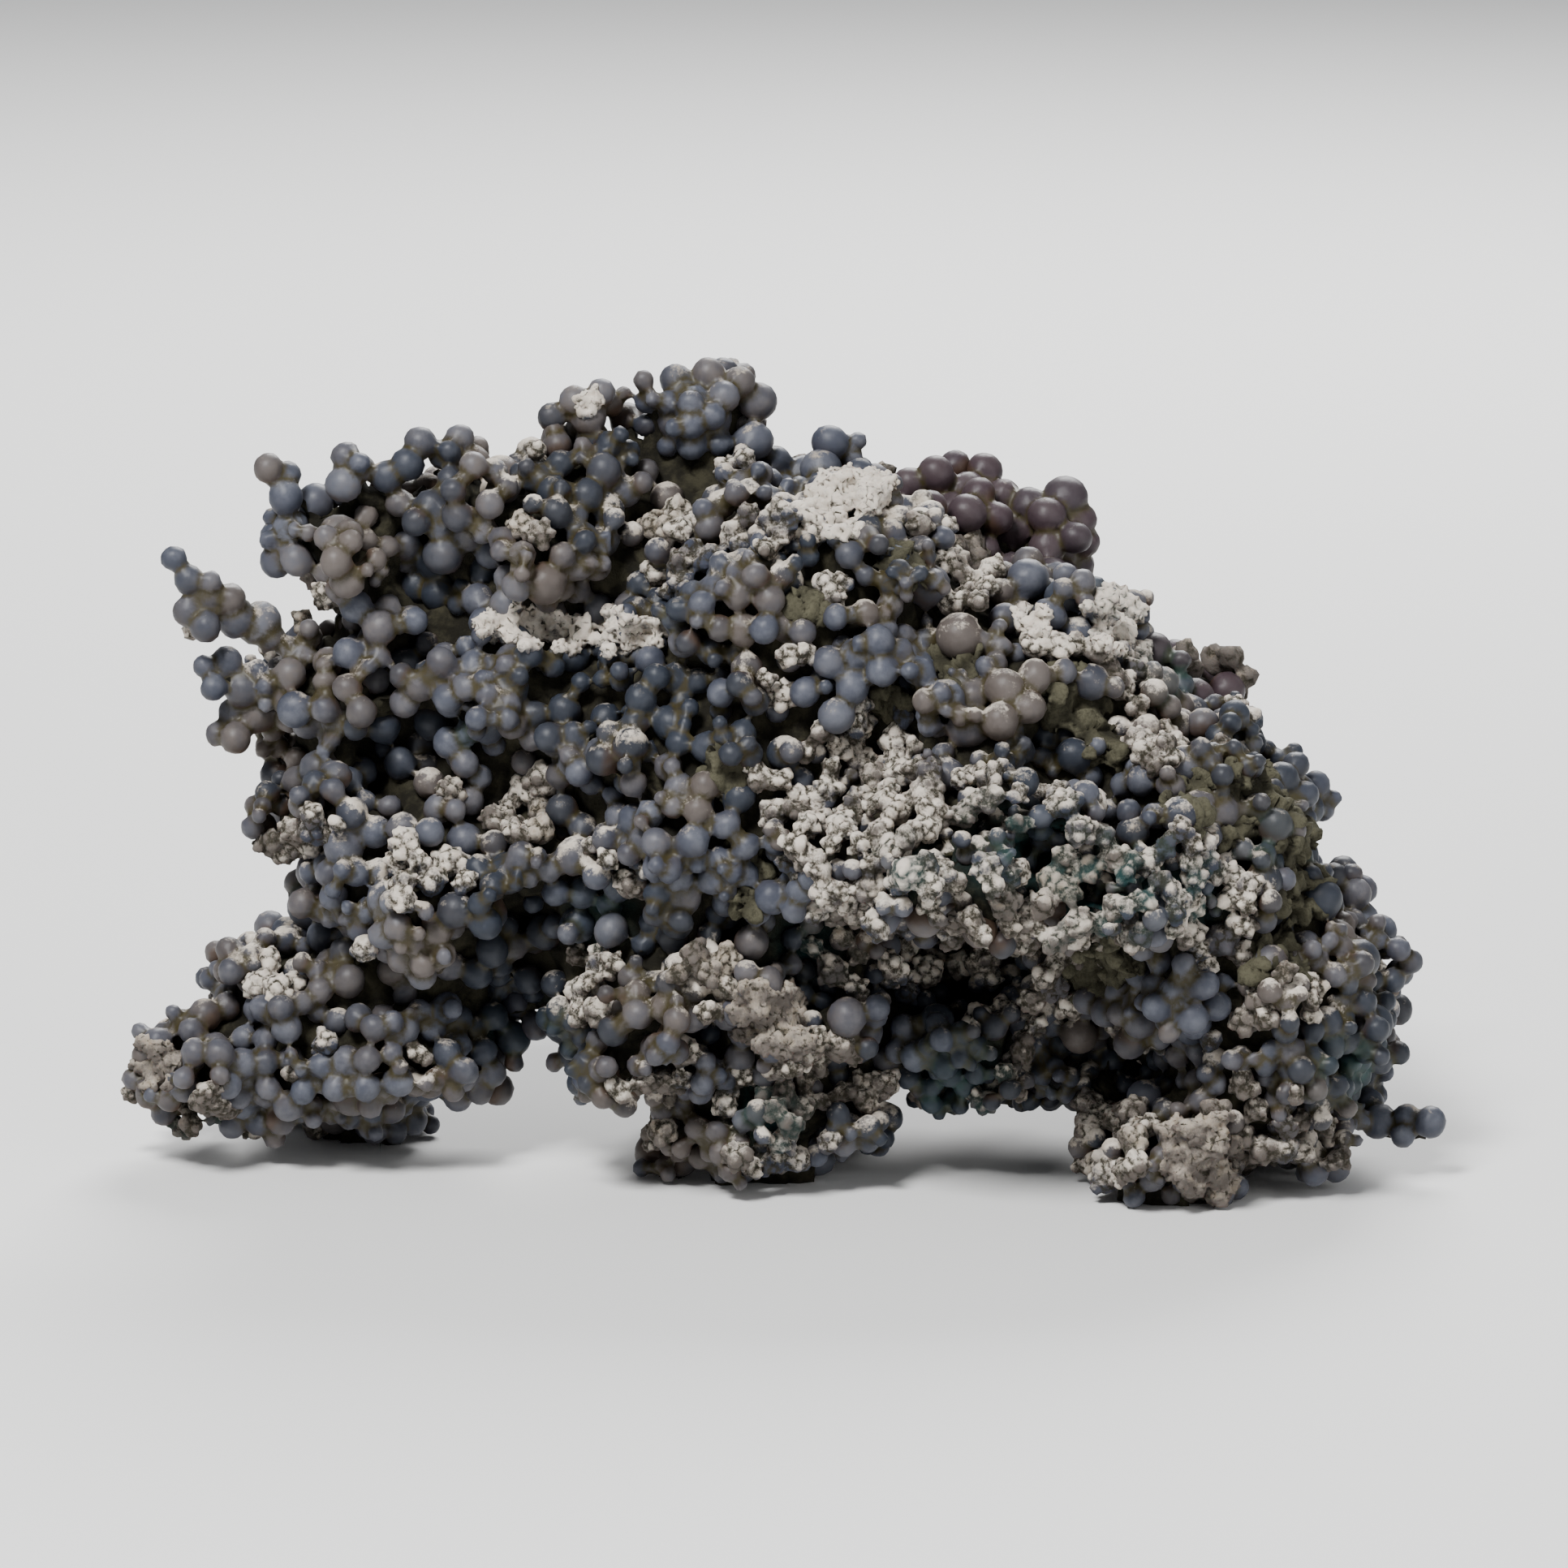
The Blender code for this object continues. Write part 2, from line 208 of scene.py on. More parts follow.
def dropLoose(pieces, first):
    # keeps what leads by contact from part to part to the largest part of the first piece
    parts, meshes = [], {}
    for name, piece in pieces.items():
        meshes[name] = bmesh.new()
        meshes[name].from_mesh(piece.data)
        parts += [(name, part, partTree(part)) for part in partsOf(meshes[name])]
    waiting = [max((n for n, part in enumerate(parts) if part[0] == first), key=lambda n: len(parts[n][1]))]
    held = set(waiting)
    while waiting:
        tree = parts[waiting.pop()][2]
        for number, part in enumerate(parts):
            if number not in held and part[2].overlap(tree):
                held.add(number)
                waiting.append(number)
    for name, made in meshes.items():
        loose = [part[1] for n, part in enumerate(parts) if part[0] == name and n not in held]
        if loose:
            bmesh.ops.delete(made, geom=[vertex for part in loose for vertex in part], context="VERTS")
            made.to_mesh(pieces[name].data)
            report(len(loose), "loose parts taken from", name)
        made.free()


def rowsOf(values, field):
    rows = np.empty(len(values) * 3)
    values.foreach_get(field, rows)
    return rows.reshape(-1, 3)


def pointsOf(mesh):
    return rowsOf(mesh.vertices, "co")


def normalsOf(mesh):
    return rowsOf(mesh.vertex_normals, "vector")


def setPoints(mesh, points):
    points[:, 2] = np.maximum(points[:, 2], 0.0)  # nothing goes under the floor
    mesh.vertices.foreach_set("co", np.ascontiguousarray(points).ravel())
    mesh.update()


def newObject(name, data):
    obj = bpy.data.objects.new(name, data)
    bpy.context.scene.collection.objects.link(obj)
    return obj


def newMesh(name, made):
    mesh = bpy.data.meshes.new(name)
    made.to_mesh(mesh)
    made.free()
    return mesh


def copyOfStone(name):
    copied = bmesh.new()
    copied.from_mesh(cadStone.data)
    bmesh.ops.remove_doubles(copied, verts=copied.verts, dist=1e-6)
    return newObject(name, newMesh(name, copied))


def treeOf(obj):
    return BVHTree.FromObject(obj, bpy.context.evaluated_depsgraph_get())


def writeColours(mesh, name, values):
    held = mesh.color_attributes.new(name, "FLOAT_COLOR", "POINT")
    held.data.foreach_set("color", np.ascontiguousarray(values, dtype=np.float32).ravel())


def noiseAt(point, size, shift=(0, 0, 0)):
    # smooth noise with waves of this size in mm
    return noise.noise(point / (size * mm) + Vector(shift))


def noiseOver(points, size):
    return np.array([noiseAt(Vector(point), size) for point in points])


plateTurns = Vector((37, 57, 91))  # uneven factors, so that each plate has its own height and tilt
plateStep, plateTilt = 0.45, 1.2


def platesOver(points, size, sharp):
    # 0 along the cracks between plates of this size and 1 on them, and the height of each tilted plate
    plates, heights = np.empty(len(points)), np.empty(len(points))
    for index, point in enumerate(points):
        place = Vector(point) / (size * mm)
        far, cells = noise.voronoi(place)
        middle = cells[0]
        tilt = Vector([math.sin(value * turn) for value, turn in zip(middle, plateTurns)])
        plates[index] = min(1.0, (far[1] - far[0]) * sharp)
        heights[index] = plateStep * math.sin(middle.dot(plateTurns)) + plateTilt * (place - middle).dot(tilt)
    return plates, np.clip(heights, -1, 1)


# The stone under its balls, drawn in from the CAD solid, with the pits carved deeper
coreSettings = {
    "guideVoxel": 0.9, "calmVoxel": 1.25, "calmSmoothing": 45, "voxel": 0.95, "smoothing": 6, "easing": 3,
    "inset": 3.0, "footHeight": 5.0, "footFlat": 0.5, "footMargin": 0.8, "footSlope": -0.45, "pitDepth": 5.0,
    "pitBehind": 6, "crackSize": 2.2, "crackDepth": 0.5, "crackSharp": 5, "stepShare": 0.8, "roughSize": 1.3,
    "roughDepth": 0.3, "mostTriangles": 44000, "leastVertices": 200,
}

report("guides")
guide = copyOfStone("guide")
remeshed(guide, coreSettings["guideVoxel"], coreSettings["easing"])
guideTree = treeOf(guide)
calm = copyOfStone("calm")  # the same form without its knobs, to tell bumps from valleys
remeshed(calm, coreSettings["calmVoxel"], coreSettings["calmSmoothing"])
calmTree = treeOf(calm)


def bumpHeight(point):
    near, normal, _, _ = calmTree.find_nearest(point)
    return (point - near).dot(normal) / mm


def isOverFoot(x, y):
    # whether the CAD solid is flat on the floor here and a little way round
    reach = coreSettings["footMargin"] * mm
    for aside, along in ((reach, 0), (-reach, 0), (0, reach), (0, -reach)):
        under = guideTree.ray_cast(Vector((x + aside, y + along, -mm)), Vector((0, 0, 1)))[0]
        if under is None or under.z > coreSettings["footFlat"] * mm:
            return False
    return True


def drawnInCore():
    s = coreSettings
    core = copyOfStone("clay_core")
    remeshed(core, s["guideVoxel"], s["smoothing"])
    setPoints(core.data, pointsOf(core.data) - normalsOf(core.data) * s["inset"] * mm)
    remeshed(core, s["voxel"], s["easing"])
    points, normals = pointsOf(core.data), normalsOf(core.data)
    facing = np.clip(-normals @ np.array(viewIn), 0, 1)
    pit = patchStrength(pitPatches, *seenAt(points.T)) * (points[:, 1] < s["pitBehind"] * mm)
    points += np.array(viewIn) * (np.sqrt(pit) * facing * s["pitDepth"] * mm)[:, None]
    low = (points[:, 2] < s["footHeight"] * mm) & (normals[:, 2] < s["footSlope"])
    for index in np.flatnonzero(low):
        if isOverFoot(points[index, 0], points[index, 1]):
            points[index, 2] = 0.0
    setPoints(core.data, points)
    thinned(core, s["mostTriangles"])
    dropCrumbs(core, s["leastVertices"])
    return core


core = drawnInCore()
coreTree = treeOf(core)
report("clay core has", len(core.data.polygons), "faces")

# Places for the balls
grapeSettings = {
    "seed": 7, "cell": 5.6, "outerTries": 26000, "innerTries": 7000, "overlap": (0.69, 0.85),
    "innerOverlap": 0.78, "innerShare": 0.9, "popcornOverlap": 0.8, "popcorn": (0.9, 1.6), "valley": -0.5,
    "relief": 0.5, "highest": 2.0, "lowest": -1.2, "proud": 0.35, "lean": 0.16,
    "budShare": 0.34, "budReach": 1.6, "budSizes": (0.6, 0.88), "budSink": 0.68, "budOverlap": 0.56,
    "runSpacing": 1.7, "runScatter": 0.7, "runSizes": (1.7, 2.3),
    "backWhite": 0.2, "bareClay": 0.72, "whiteBelly": 0.95, "bellyGaps": 0.3, "drabShare": 0.55,
    "rooted": 0.8, "touch": 0.26, "bridgeReach": 0.7, "bridgeShare": 0.75,
    "stalkStep": 0.9, "stalkReach": 4.5, "stalkShare": 0.8,
}


class BallField:
    def __init__(self, cell):
        self.cell = cell * mm
        self.grid = {}
        self.balls = []

    def around(self, centre):
        x, y, z = (math.floor(value / self.cell) for value in centre)
        for i, j, k in product((-1, 0, 1), repeat=3):
            yield from self.grid.get((x + i, y + j, z + k), ())

    def hasRoom(self, centre, radius, overlap):
        for other in self.around(centre):
            if (centre - other["centre"]).length <= (radius + other["radius"]) * overlap:
                return False
        return True

    def add(self, centre, radius, axis, finish="", grown="grape"):
        ball = {"centre": centre, "radius": radius, "axis": axis, "finish": finish, "grown": grown}
        ball["held"] = False
        key = tuple(math.floor(value / self.cell) for value in centre)
        self.grid.setdefault(key, []).append(ball)
        self.balls.append(ball)
        return ball


def scattered(mesh, count, rng):
    mesh.calc_loop_triangles()
    triangles = list(mesh.loop_triangles)
    for triangle in rng.choices(triangles, weights=[t.area for t in triangles], k=count):
        a, b, c = (mesh.vertices[i].co for i in triangle.vertices)
        s, t = rng.random(), rng.random()
        if s + t > 1:
            s, t = 1 - s, 1 - t
        normal = sum((mesh.vertices[i].normal for i in triangle.vertices), Vector()).normalized()
        yield a + (b - a) * s + (c - a) * t, normal


frontSlope, frontDepth = 0.12, 14
mauveBehind = 8
mauveZones = [(10, 33, 53, 99), (36, 52, 38, 58)]  # x from and to, z from and to, in mm

# Radii in mm. Two are limits to draw between, and more are common sizes, each drawn a little off
ballSizes = {
    "mauve": (1.6, 2.4), "back": (1.4, 1.7, 2.0, 2.2), "tiny": (0.8, 1.1), "belly": (0.9, 1.4),
    "tinyShare": 0.07, "off": (0.9, 1.1),
}
# Left and right edge and top of each part of the front, and its sizes. The first that fits counts
frontSizes = [
    (-99, -22, 26, (1.2, 1.8)), (-99, -20, 99, (1.4, 1.55, 1.7, 2.0)), (-99, 99, 14, (1.0, 1.5)),
    (-99, 2, 99, (1.25, 1.85)), (24, 99, 30, (1.25, 1.8)), (-99, 99, 99, (1.3, 1.5, 1.7, 2.0)),
]


def isFront(point, normal):
    return normal.dot(viewIn) < frontSlope and point.y < frontDepth * mm


def strewn(spread, rng):
    return Vector([rng.gauss(0, spread) for _ in range(3)])


def isPurple(point):
    x, y, z = point / mm
    return y > mauveBehind and any(a < x < b and c < z < d for a, b, c, d in mauveZones)


def drawnSize(sizes, rng):
    return rng.uniform(*sizes) if len(sizes) == 2 else rng.choice(sizes) * rng.uniform(*ballSizes["off"])


def ballSize(point, front, across, up, rng):
    if isPurple(point):
        return drawnSize(ballSizes["mauve"], rng)
    if not front:
        return drawnSize(ballSizes["back"], rng)
    if rng.random() < ballSizes["tinyShare"]:
        return drawnSize(ballSizes["tiny"], rng)
    if patchStrength(bellyPatches, across, up) > 0:
        return drawnSize(ballSizes["belly"], rng)
    fits = (sizes for left, right, top, sizes in frontSizes if left < across < right and up < top)
    return drawnSize(next(fits), rng)


# Balls seen singly in the photograph: (across, up, radius, finish)
namedBalls = [
    (9, 54.7, 1.7, "blue"), (4.3, 52.9, 1.7, "blue"), (13, 51.9, 1.6, "blue"),
    (9.6, 52.1, 1.6, "blue"), (16.9, 55.4, 2.5, "pink"), (23.6, 61, 2.1, "blue"),
    (-6, 49.9, 1.5, "blue"), (21.2, 50.3, 2, "pink"), (16.9, 47.6, 1.1, "pink"),
    (20.5, 47.1, 1.9, "pink"), (23.4, 48.6, 1.7, "pink"), (-47.5, 48.5, 1.8, "blue"),
    (-36, 57, 1.5, "blue"), (-41.6, 58.4, 1.7, "blue"), (-42.3, 53.9, 1.7, "blue"),
    (-46.9, 11.2, 1.4, "blue"), (-43.5, 11.6, 1.5, "blue"), (-40.8, 11.8, 1.5, "blue"),
    (-37.6, 12.4, 1.6, "blue"), (35.9, 19.9, 1.5, "blue"), (40.2, 21.9, 1.5, "blue"),
    (28.8, 16.7, 1.9, "pink"), (8.6, 19.5, 1.4, "blue"), (11.8, 17.5, 1.5, "blue"),
    (13, 14.8, 1.6, "blue"), (15.4, 16.4, 1.3, "blue"), (11, 15.2, 1.3, "blue"),
    (5, 57.2, 1.4, "blue"), (-8.3, 38.7, 1.5, "pink"), (-7.6, 41, 1.5, "pink"),
    (-5.5, 37.2, 1.5, "blue"), (-3.7, 35.3, 1.4, "blue"), (13.7, 49, 1.35, "pink"),
    (7.8, 57.6, 1.4, "pink"), (-1.8, 56, 1.5, "blue"), (-19.8, 42.3, 1.4, "blue"),
    (-32.5, 45.2, 1.7, "blue"), (-29.5, 47.6, 1.3, "blue"), (37, 41, 1.5, "warm"),
    (2, 50, 1.6, "blue"), (6.5, 50.4, 1.6, "blue"), (25.6, 57.6, 1.7, "blue"),
]

# Runs of balls that stand out of the outline: (x, y, z, radius) in mm, the last one nearest the body
ballRuns = {
    "leftFinger": [
        (-59.3, 3, 60.5, 1.3), (-57.9, 3, 58.4, 1.5), (-56, 4, 56.6, 1.9), (-58, 3, 55.2, 1.6),
        (-56.3, 2, 53.9, 1.6), (-54, 4, 56.2, 1.7), (-53.4, 5, 54.2, 2.1), (-51.2, 6, 53.4, 2.3),
    ],
    "leftTwig": [
        (-55.4, 5, 42.6, 1.3), (-54, 6, 44.6, 1.5), (-53.6, 4, 42.4, 1.6), (-51.6, 6, 44.4, 2),
    ],
    "leftKnot": [
        (-56.6, 4, 49.6, 1.2), (-55.6, 3, 47.6, 1.4), (-54.4, 5, 49.8, 1.6), (-52.8, 5, 47.2, 2),
    ],
    "legSpikes": [
        (-63.2, 3, 13.2, 1), (-62.6, 3, 10.8, 1.6), (-63.9, 3, 8.5, 1.2), (-61.4, 1, 12.6, 1.5),
        (-60.4, 3, 9.4, 2.2), (-60.9, 2, 5.2, 1.4), (-62.2, 1, 7.4, 1.5), (-59.2, 3, 6.6, 1.9),
    ],
    "legDrops": [(-40.4, 6, 2.4, 1.3), (-41.6, 5, 4.2, 1.3), (-39.8, 6, 4.6, 1.6)],
    "legDropFront": [(-51.6, 1, 4.4, 1.3), (-50.6, 2, 6.2, 1.6)],
    "rightBall": [
        (63.1, -4, 5.8, 1.6), (60.9, -3, 6.2, 1.3), (60.4, -4, 4.4, 1.2), (58.2, -2, 5.4, 1.8),
    ],
    "topBalls": [
        (-13.7, 10, 76.8, 1.1), (-13.4, 11, 74.6, 1.3), (-10.6, 12, 76.6, 1.6), (-7.4, 12, 77.2, 1.6),
        (-4.4, 12, 76.2, 1.7), (-5.8, 10, 75.2, 1.6), (-9, 10, 74.8, 1.6), (-2.6, 13, 74.2, 2),
        (-7, 11, 73, 2), (-10.6, 11, 72.6, 1.9), (-3, 11, 70.6, 2),
    ],
    "wingTip": [(-50.1, 4, 69.2, 1.5), (-48.2, 5, 68.4, 1.4), (-48.4, 4, 66.4, 1.8)],
    "wingBall": [(-42.6, 5, 70.2, 1.5), (-41, 5, 69, 1.4), (-42.8, 4, 67.6, 1.8)],
    "wingBalls": [
        (-38.6, 5, 68.2, 1.7), (-35.4, 6, 71.4, 1.7), (-33.2, 7, 70, 1.6), (-36.6, 5, 69.4, 1.8),
        (-31.6, 7, 71.6, 1.5), (-30.2, 7, 69.2, 1.8),
    ],
    "crestBalls": [
        (-20.4, 9, 75, 1.6), (-17.8, 9, 75.8, 1.5), (-22.6, 9, 73.4, 1.5), (-19, 9, 73.2, 1.9),
    ],
    "notchFinger": [
        (7.2, 10, 70.8, 1), (6.6, 10, 69.2, 1.2), (7.6, 11, 67.8, 1.3), (5.8, 10, 66.8, 1.6),
    ],
    "mauveCrestLeft": [
        (14.9, 16, 66.4, 1.9), (12.4, 16, 65.4, 1.8), (18.1, 17, 64.6, 2), (16.6, 15, 62.6, 2.2),
        (14.2, 16, 62.4, 2.3), (19.6, 17, 61.8, 2.3), (12, 15, 61, 2.2),
    ],
    "mauveCrest": [
        (21.6, 17, 63.9, 1.9), (24, 16, 63.2, 2), (22.6, 16, 60.8, 2.4), (20.9, 18, 59.8, 2.4),
        (24.9, 17, 59.6, 2.4), (18.4, 18, 58.6, 2.4),
    ],
    "mauveCrestTip": [
        (27.7, 16, 63.9, 2.3), (28.4, 16, 61.6, 2.4), (26.4, 17, 61.2, 2.4), (29.3, 16, 59.8, 1.9),
        (26.8, 16, 58.4, 2.5), (28.4, 17, 57, 2.3), (24.6, 17, 56.2, 2.5), (29.4, 16, 54.6, 2),
    ],
}


def placeRuns(field, rng):
    s = grapeSettings
    forward = Vector((0, -0.6, 0.8))
    for run in ballRuns.values():
        for x, y, z, radius in run:
            field.add(Vector((x, y, z)) * mm, radius * mm, forward, "run")
        last = Vector(run[-1][:3]) * mm
        root, _, _, far = coreTree.find_nearest(last)
        count = int(far / (s["runSpacing"] * mm))
        for step in range(1, count + 1):  # more balls join the run to the body
            aside = Vector([rng.uniform(-s["runScatter"], s["runScatter"]) for _ in range(3)]) * mm
            centre = last.lerp(root, step / (count + 0.6)) + aside
            field.add(centre, rng.uniform(*s["runSizes"]) * mm, forward, "run")


def placeNamed(field):
    for across, up, radius, finish in namedBalls:
        hit, normal, _, _ = guideTree.ray_cast(seenRay(across, up), viewIn)
        if hit is None:
            continue
        high = max(0.0, min(bumpHeight(hit), grapeSettings["highest"]))
        centre = hit + (viewIn * radius * 0.45 + normal * high * grapeSettings["relief"]) * mm
        field.add(centre, radius * mm, (normal - viewIn * 0.6).normalized(), finish)


def growthAt(point, normal, across, up, rng):
    # what grows at a place on the skin: a grape, white popcorn or nothing
    s = grapeSettings
    if not isFront(point, normal):
        return "popcorn" if noiseAt(point, 11, (5, 5, 5)) > s["backWhite"] else "grape"
    shift = 0.25 * noiseAt(point, 3)

    def inside(patches, depth):
        return patchStrength(patches, across, up, 1.0, shift) > depth

    if inside(pitPatches, 0.05):
        return None
    if inside(clayPatches, 0.15) and rng.random() < s["bareClay"]:
        return None
    if inside(popcornPatches, 0):
        return "popcorn"
    if inside(bellyPatches, 0.12) and rng.random() < s["whiteBelly"]:
        return "popcorn" if noiseAt(point, 2.4) < s["bellyGaps"] else None
    if inside(drabPatches, 0.1) and rng.random() < s["drabShare"]:
        return "popcorn"
    return "grape"


def placeOuter(field, rng):
    s = grapeSettings
    for point, normal in scattered(guide.data, s["outerTries"], rng):
        across, up = seenAt(point)
        grown = growthAt(point, normal, across, up, rng)
        if grown is None:
            continue
        radius = ballSize(point, isFront(point, normal), across, up, rng) * mm
        overlap = rng.uniform(*s["overlap"])
        bump = bumpHeight(point)
        if grown == "popcorn":
            radius = rng.uniform(*s["popcorn"]) * mm
            overlap = s["popcornOverlap"]
        elif bump < s["valley"] and not isPurple(point):
            continue
        axis = (normal + strewn(s["lean"], rng)).normalized()
        lift = s["relief"] * max(s["lowest"], min(bump, s["highest"]))
        lift += s["proud"] * rng.uniform(-1.6, 1.0)
        centre = point + axis * (lift * mm - radius)
        if centre.z > radius * 0.95 and field.hasRoom(centre, radius, overlap):
            field.add(centre, radius, axis, "", grown)


def placeBuds(field, rng):
    # smaller balls that sprout from the sides of others
    s = grapeSettings
    for ball in list(field.balls):
        if ball["grown"] != "grape" or isPurple(ball["centre"]) or rng.random() > s["budShare"]:
            continue
        away = (ball["axis"] * 1.1 + strewn(1, rng).normalized()).normalized()
        radius = ball["radius"] * rng.uniform(*s["budSizes"])
        centre = ball["centre"] + away * (ball["radius"] + radius) * s["budSink"]
        near, normal, _, _ = guideTree.find_nearest(centre)
        reach = (centre - near).dot(normal) + radius
        if reach > s["budReach"] * mm or centre.z < radius:
            continue
        if field.hasRoom(centre, radius, s["budOverlap"]):
            field.add(centre, radius, away, ball["finish"])


def placeInner(field, rng):
    # balls deep in the gaps
    s = grapeSettings
    for point, normal in scattered(core.data, s["innerTries"], rng):
        across, up = seenAt(point)
        front = isFront(point, normal)
        radius = ballSize(point, front, across, up, rng) * mm * s["innerShare"]
        if normal.z < -0.9 and point.z < 1.5 * mm:
            continue
        if front and patchStrength(clayPatches, across, up) > 0.15:
            continue
        centre = point + normal * radius * 0.3
        if centre.z > radius * 0.95 and field.hasRoom(centre, radius, s["innerOverlap"]):
            field.add(centre, radius, normal)


def isRooted(ball):
    near, normal, _, _ = coreTree.find_nearest(ball["centre"])
    away = ball["centre"] - near
    return ball["radius"] - math.copysign(away.length, away.dot(normal)) > grapeSettings["rooted"] * mm


def gapBetween(ball, other):
    return (ball["centre"] - other["centre"]).length - ball["radius"] - other["radius"]


def hold(field, waiting):
    # whatever touches a held ball is held too
    for ball in waiting:
        ball["held"] = True
    while waiting:
        ball = waiting.pop()
        for other in field.around(ball["centre"]):
            if not other["held"] and gapBetween(ball, other) < -grapeSettings["touch"] * mm:
                other["held"] = True
                waiting.append(other)


def addLink(field, ball, centre, radius):
    field.add(centre, radius, ball["axis"], ball["finish"], ball["grown"])["held"] = True


def bridgeLoose(field):
    # a loose ball that almost touches a held one gets a smaller ball between the two
    joined = 0
    for ball in list(field.balls):
        near = [other for other in field.around(ball["centre"]) if other["held"]]
        if ball["held"] or not near:
            continue
        other = min(near, key=lambda held: gapBetween(ball, held))
        gap = gapBetween(ball, other)
        if gap > grapeSettings["bridgeReach"] * mm:
            continue
        joined += 1
        span = other["centre"] - ball["centre"]
        centre = ball["centre"] + span.normalized() * (ball["radius"] + gap / 2)
        addLink(field, ball, centre, min(ball["radius"], other["radius"]) * grapeSettings["bridgeShare"])
        hold(field, [ball])
    return joined


def stalkLoose(field):
    # what is left is tied down to the core, or taken away where that is too far
    joined = 0
    for ball in list(field.balls):
        root, _, _, far = coreTree.find_nearest(ball["centre"])
        if ball["held"] or far > grapeSettings["stalkReach"] * mm:
            continue
        joined += 1
        steps = int(far / (grapeSettings["stalkStep"] * mm)) + 1
        for step in range(1, steps + 1):
            centre = ball["centre"].lerp(root, step / steps)
            addLink(field, ball, centre, ball["radius"] * grapeSettings["stalkShare"])
        hold(field, [ball])
    return joined


def joinLoose(field):
    hold(field, [ball for ball in field.balls if isRooted(ball)])
    bridges = bridgeLoose(field) + bridgeLoose(field)
    stalks = stalkLoose(field)
    bridges += bridgeLoose(field)
    report(bridges, "bridges and", stalks, "stalks")
    field.balls = [ball for ball in field.balls if ball["held"]]


def toneFor(ball, rng):
    # tint from blue-grey to taupe, white crust, teal stain and darkness of one ball: its own depth of colour,
    # with painted shade added by the pits and the shade patches
    point, finish = ball["centre"], ball["finish"]
    across, up = seenAt(point)

    def near(patches, spread):
        return patchStrength(patches, across, up, spread)

    tint = 0.45 + 0.7 * noiseAt(point, 9) + rng.uniform(-0.25, 0.25)
    chalk = rng.uniform(0.0, 0.1)
    darkAndShade = rng.uniform(0.1, 0.7)
    if isFront(point, ball["axis"]):
        warm = near(warmPatches, 1.3)
        tint += 0.5 * warm - 0.6 * near(bluePatches, 1.3)
        stain = 1.4 * near(tealPatches, 1.2) * rng.uniform(0.0, 1.0)
        drab = near(drabPatches, 1.2)
        chalk += 0.4 * max(near(popcornPatches, 2.0), near(bellyPatches, 1.3)) + 0.3 * drab
        tint += 0.4 * drab
        # painted shade: balls in the shade patches are darker; those in the warm patches are lighter
        darkAndShade += 1.1 * near(shadePatches, 1.3) - 0.7 * warm
        # painted shade: balls by the pits are darker
        darkAndShade += 0.8 * near(pitPatches, 1.3)
    else:
        stain = max(0.0, noiseAt(point, 12, (3, 8, 1)) - 0.2) * 1.4
        chalk += 0.7 * max(0.0, noiseAt(point, 11, (5, 5, 5)))
        tint += 0.4 * noiseAt(point, 17, (2, 9, 4))
        darkAndShade += 0.9 * noiseAt(point, 10) - 0.12
    if ball["grown"] == "popcorn":
        drab = near(drabPatches, 1.0) > 0.1 and near(popcornPatches, 1.0) == 0
        chalk = rng.uniform(0.0, 0.32) if drab else rng.choice((0.08, 0.28, 0.36, 0.42, 0.48, 0.54))
    if isPurple(point):
        tint, chalk, darkAndShade = 2.0, 0.0, rng.uniform(0.25, 0.6)
    elif finish == "blue":
        tint, chalk, darkAndShade = rng.uniform(0.0, 0.25), rng.uniform(0.0, 0.08), rng.uniform(0.2, 0.45)
    elif finish == "pink":
        tint, chalk, darkAndShade = rng.uniform(0.95, 1.2), rng.uniform(0.1, 0.25), 0.25
    elif finish == "warm":
        tint, darkAndShade = rng.uniform(0.6, 0.9), 0.2
    return max(tint, 0.0) / 2, min(chalk, 1.0), min(stain, 1.0), min(max(darkAndShade, 0.0), 1.0)


rng = random.Random(grapeSettings["seed"])
field = BallField(grapeSettings["cell"])
placeRuns(field, rng)
placeNamed(field)
placeOuter(field, rng)
report(len(field.balls), "outer balls")
placeBuds(field, rng)
report(len(field.balls), "with buds")
placeInner(field, rng)
joinLoose(field)
for ball in field.balls:
    ball["tone"] = toneFor(ball, rng)
grapes = [ball for ball in field.balls if ball["grown"] == "grape"]
knobs = [ball for ball in field.balls if ball["grown"] == "popcorn"]
report(len(grapes), "grapes and", len(knobs), "popcorn knobs")

# Balls grown as meshes and fused where they touch
skinSettings = {"creaseWidth": 0.75, "blend": 0.18, "near": 4, "swell": 1.03, "leastVertices": 80}


def grainShape():
    made = bmesh.new()
    bmesh.ops.create_icosphere(made, subdivisions=2, radius=1)
    return newMesh("grain", made)


def columnOf(balls, key):
    return np.array([ball[key] for ball in balls])


def grownMesh(name, balls, shape, uneven, rng):
    # one ball at each place, a little out of round
    whole = bmesh.new()
    for _ in balls:
        whole.from_mesh(shape)
    mesh = newMesh(name, whole)
    turns = []
    for ball in balls:
        squeeze = Matrix.Diagonal([rng.uniform(1 - uneven, 1 + uneven) for _ in range(3)])
        spin = Matrix.Rotation(rng.uniform(0, math.tau), 3, "Z")
        turns.append(ball["axis"].to_track_quat("Z", "Y").to_matrix() @ spin @ squeeze)
    sizes = columnOf(balls, "radius") * skinSettings["swell"]
    rounds = pointsOf(mesh).reshape(len(balls), -1, 3)
    offsets = np.einsum("bij,bkj->bki", np.array(turns), rounds) * sizes[:, None, None]
    setPoints(mesh, (offsets + columnOf(balls, "centre")[:, None, :]).reshape(-1, 3))
    return mesh


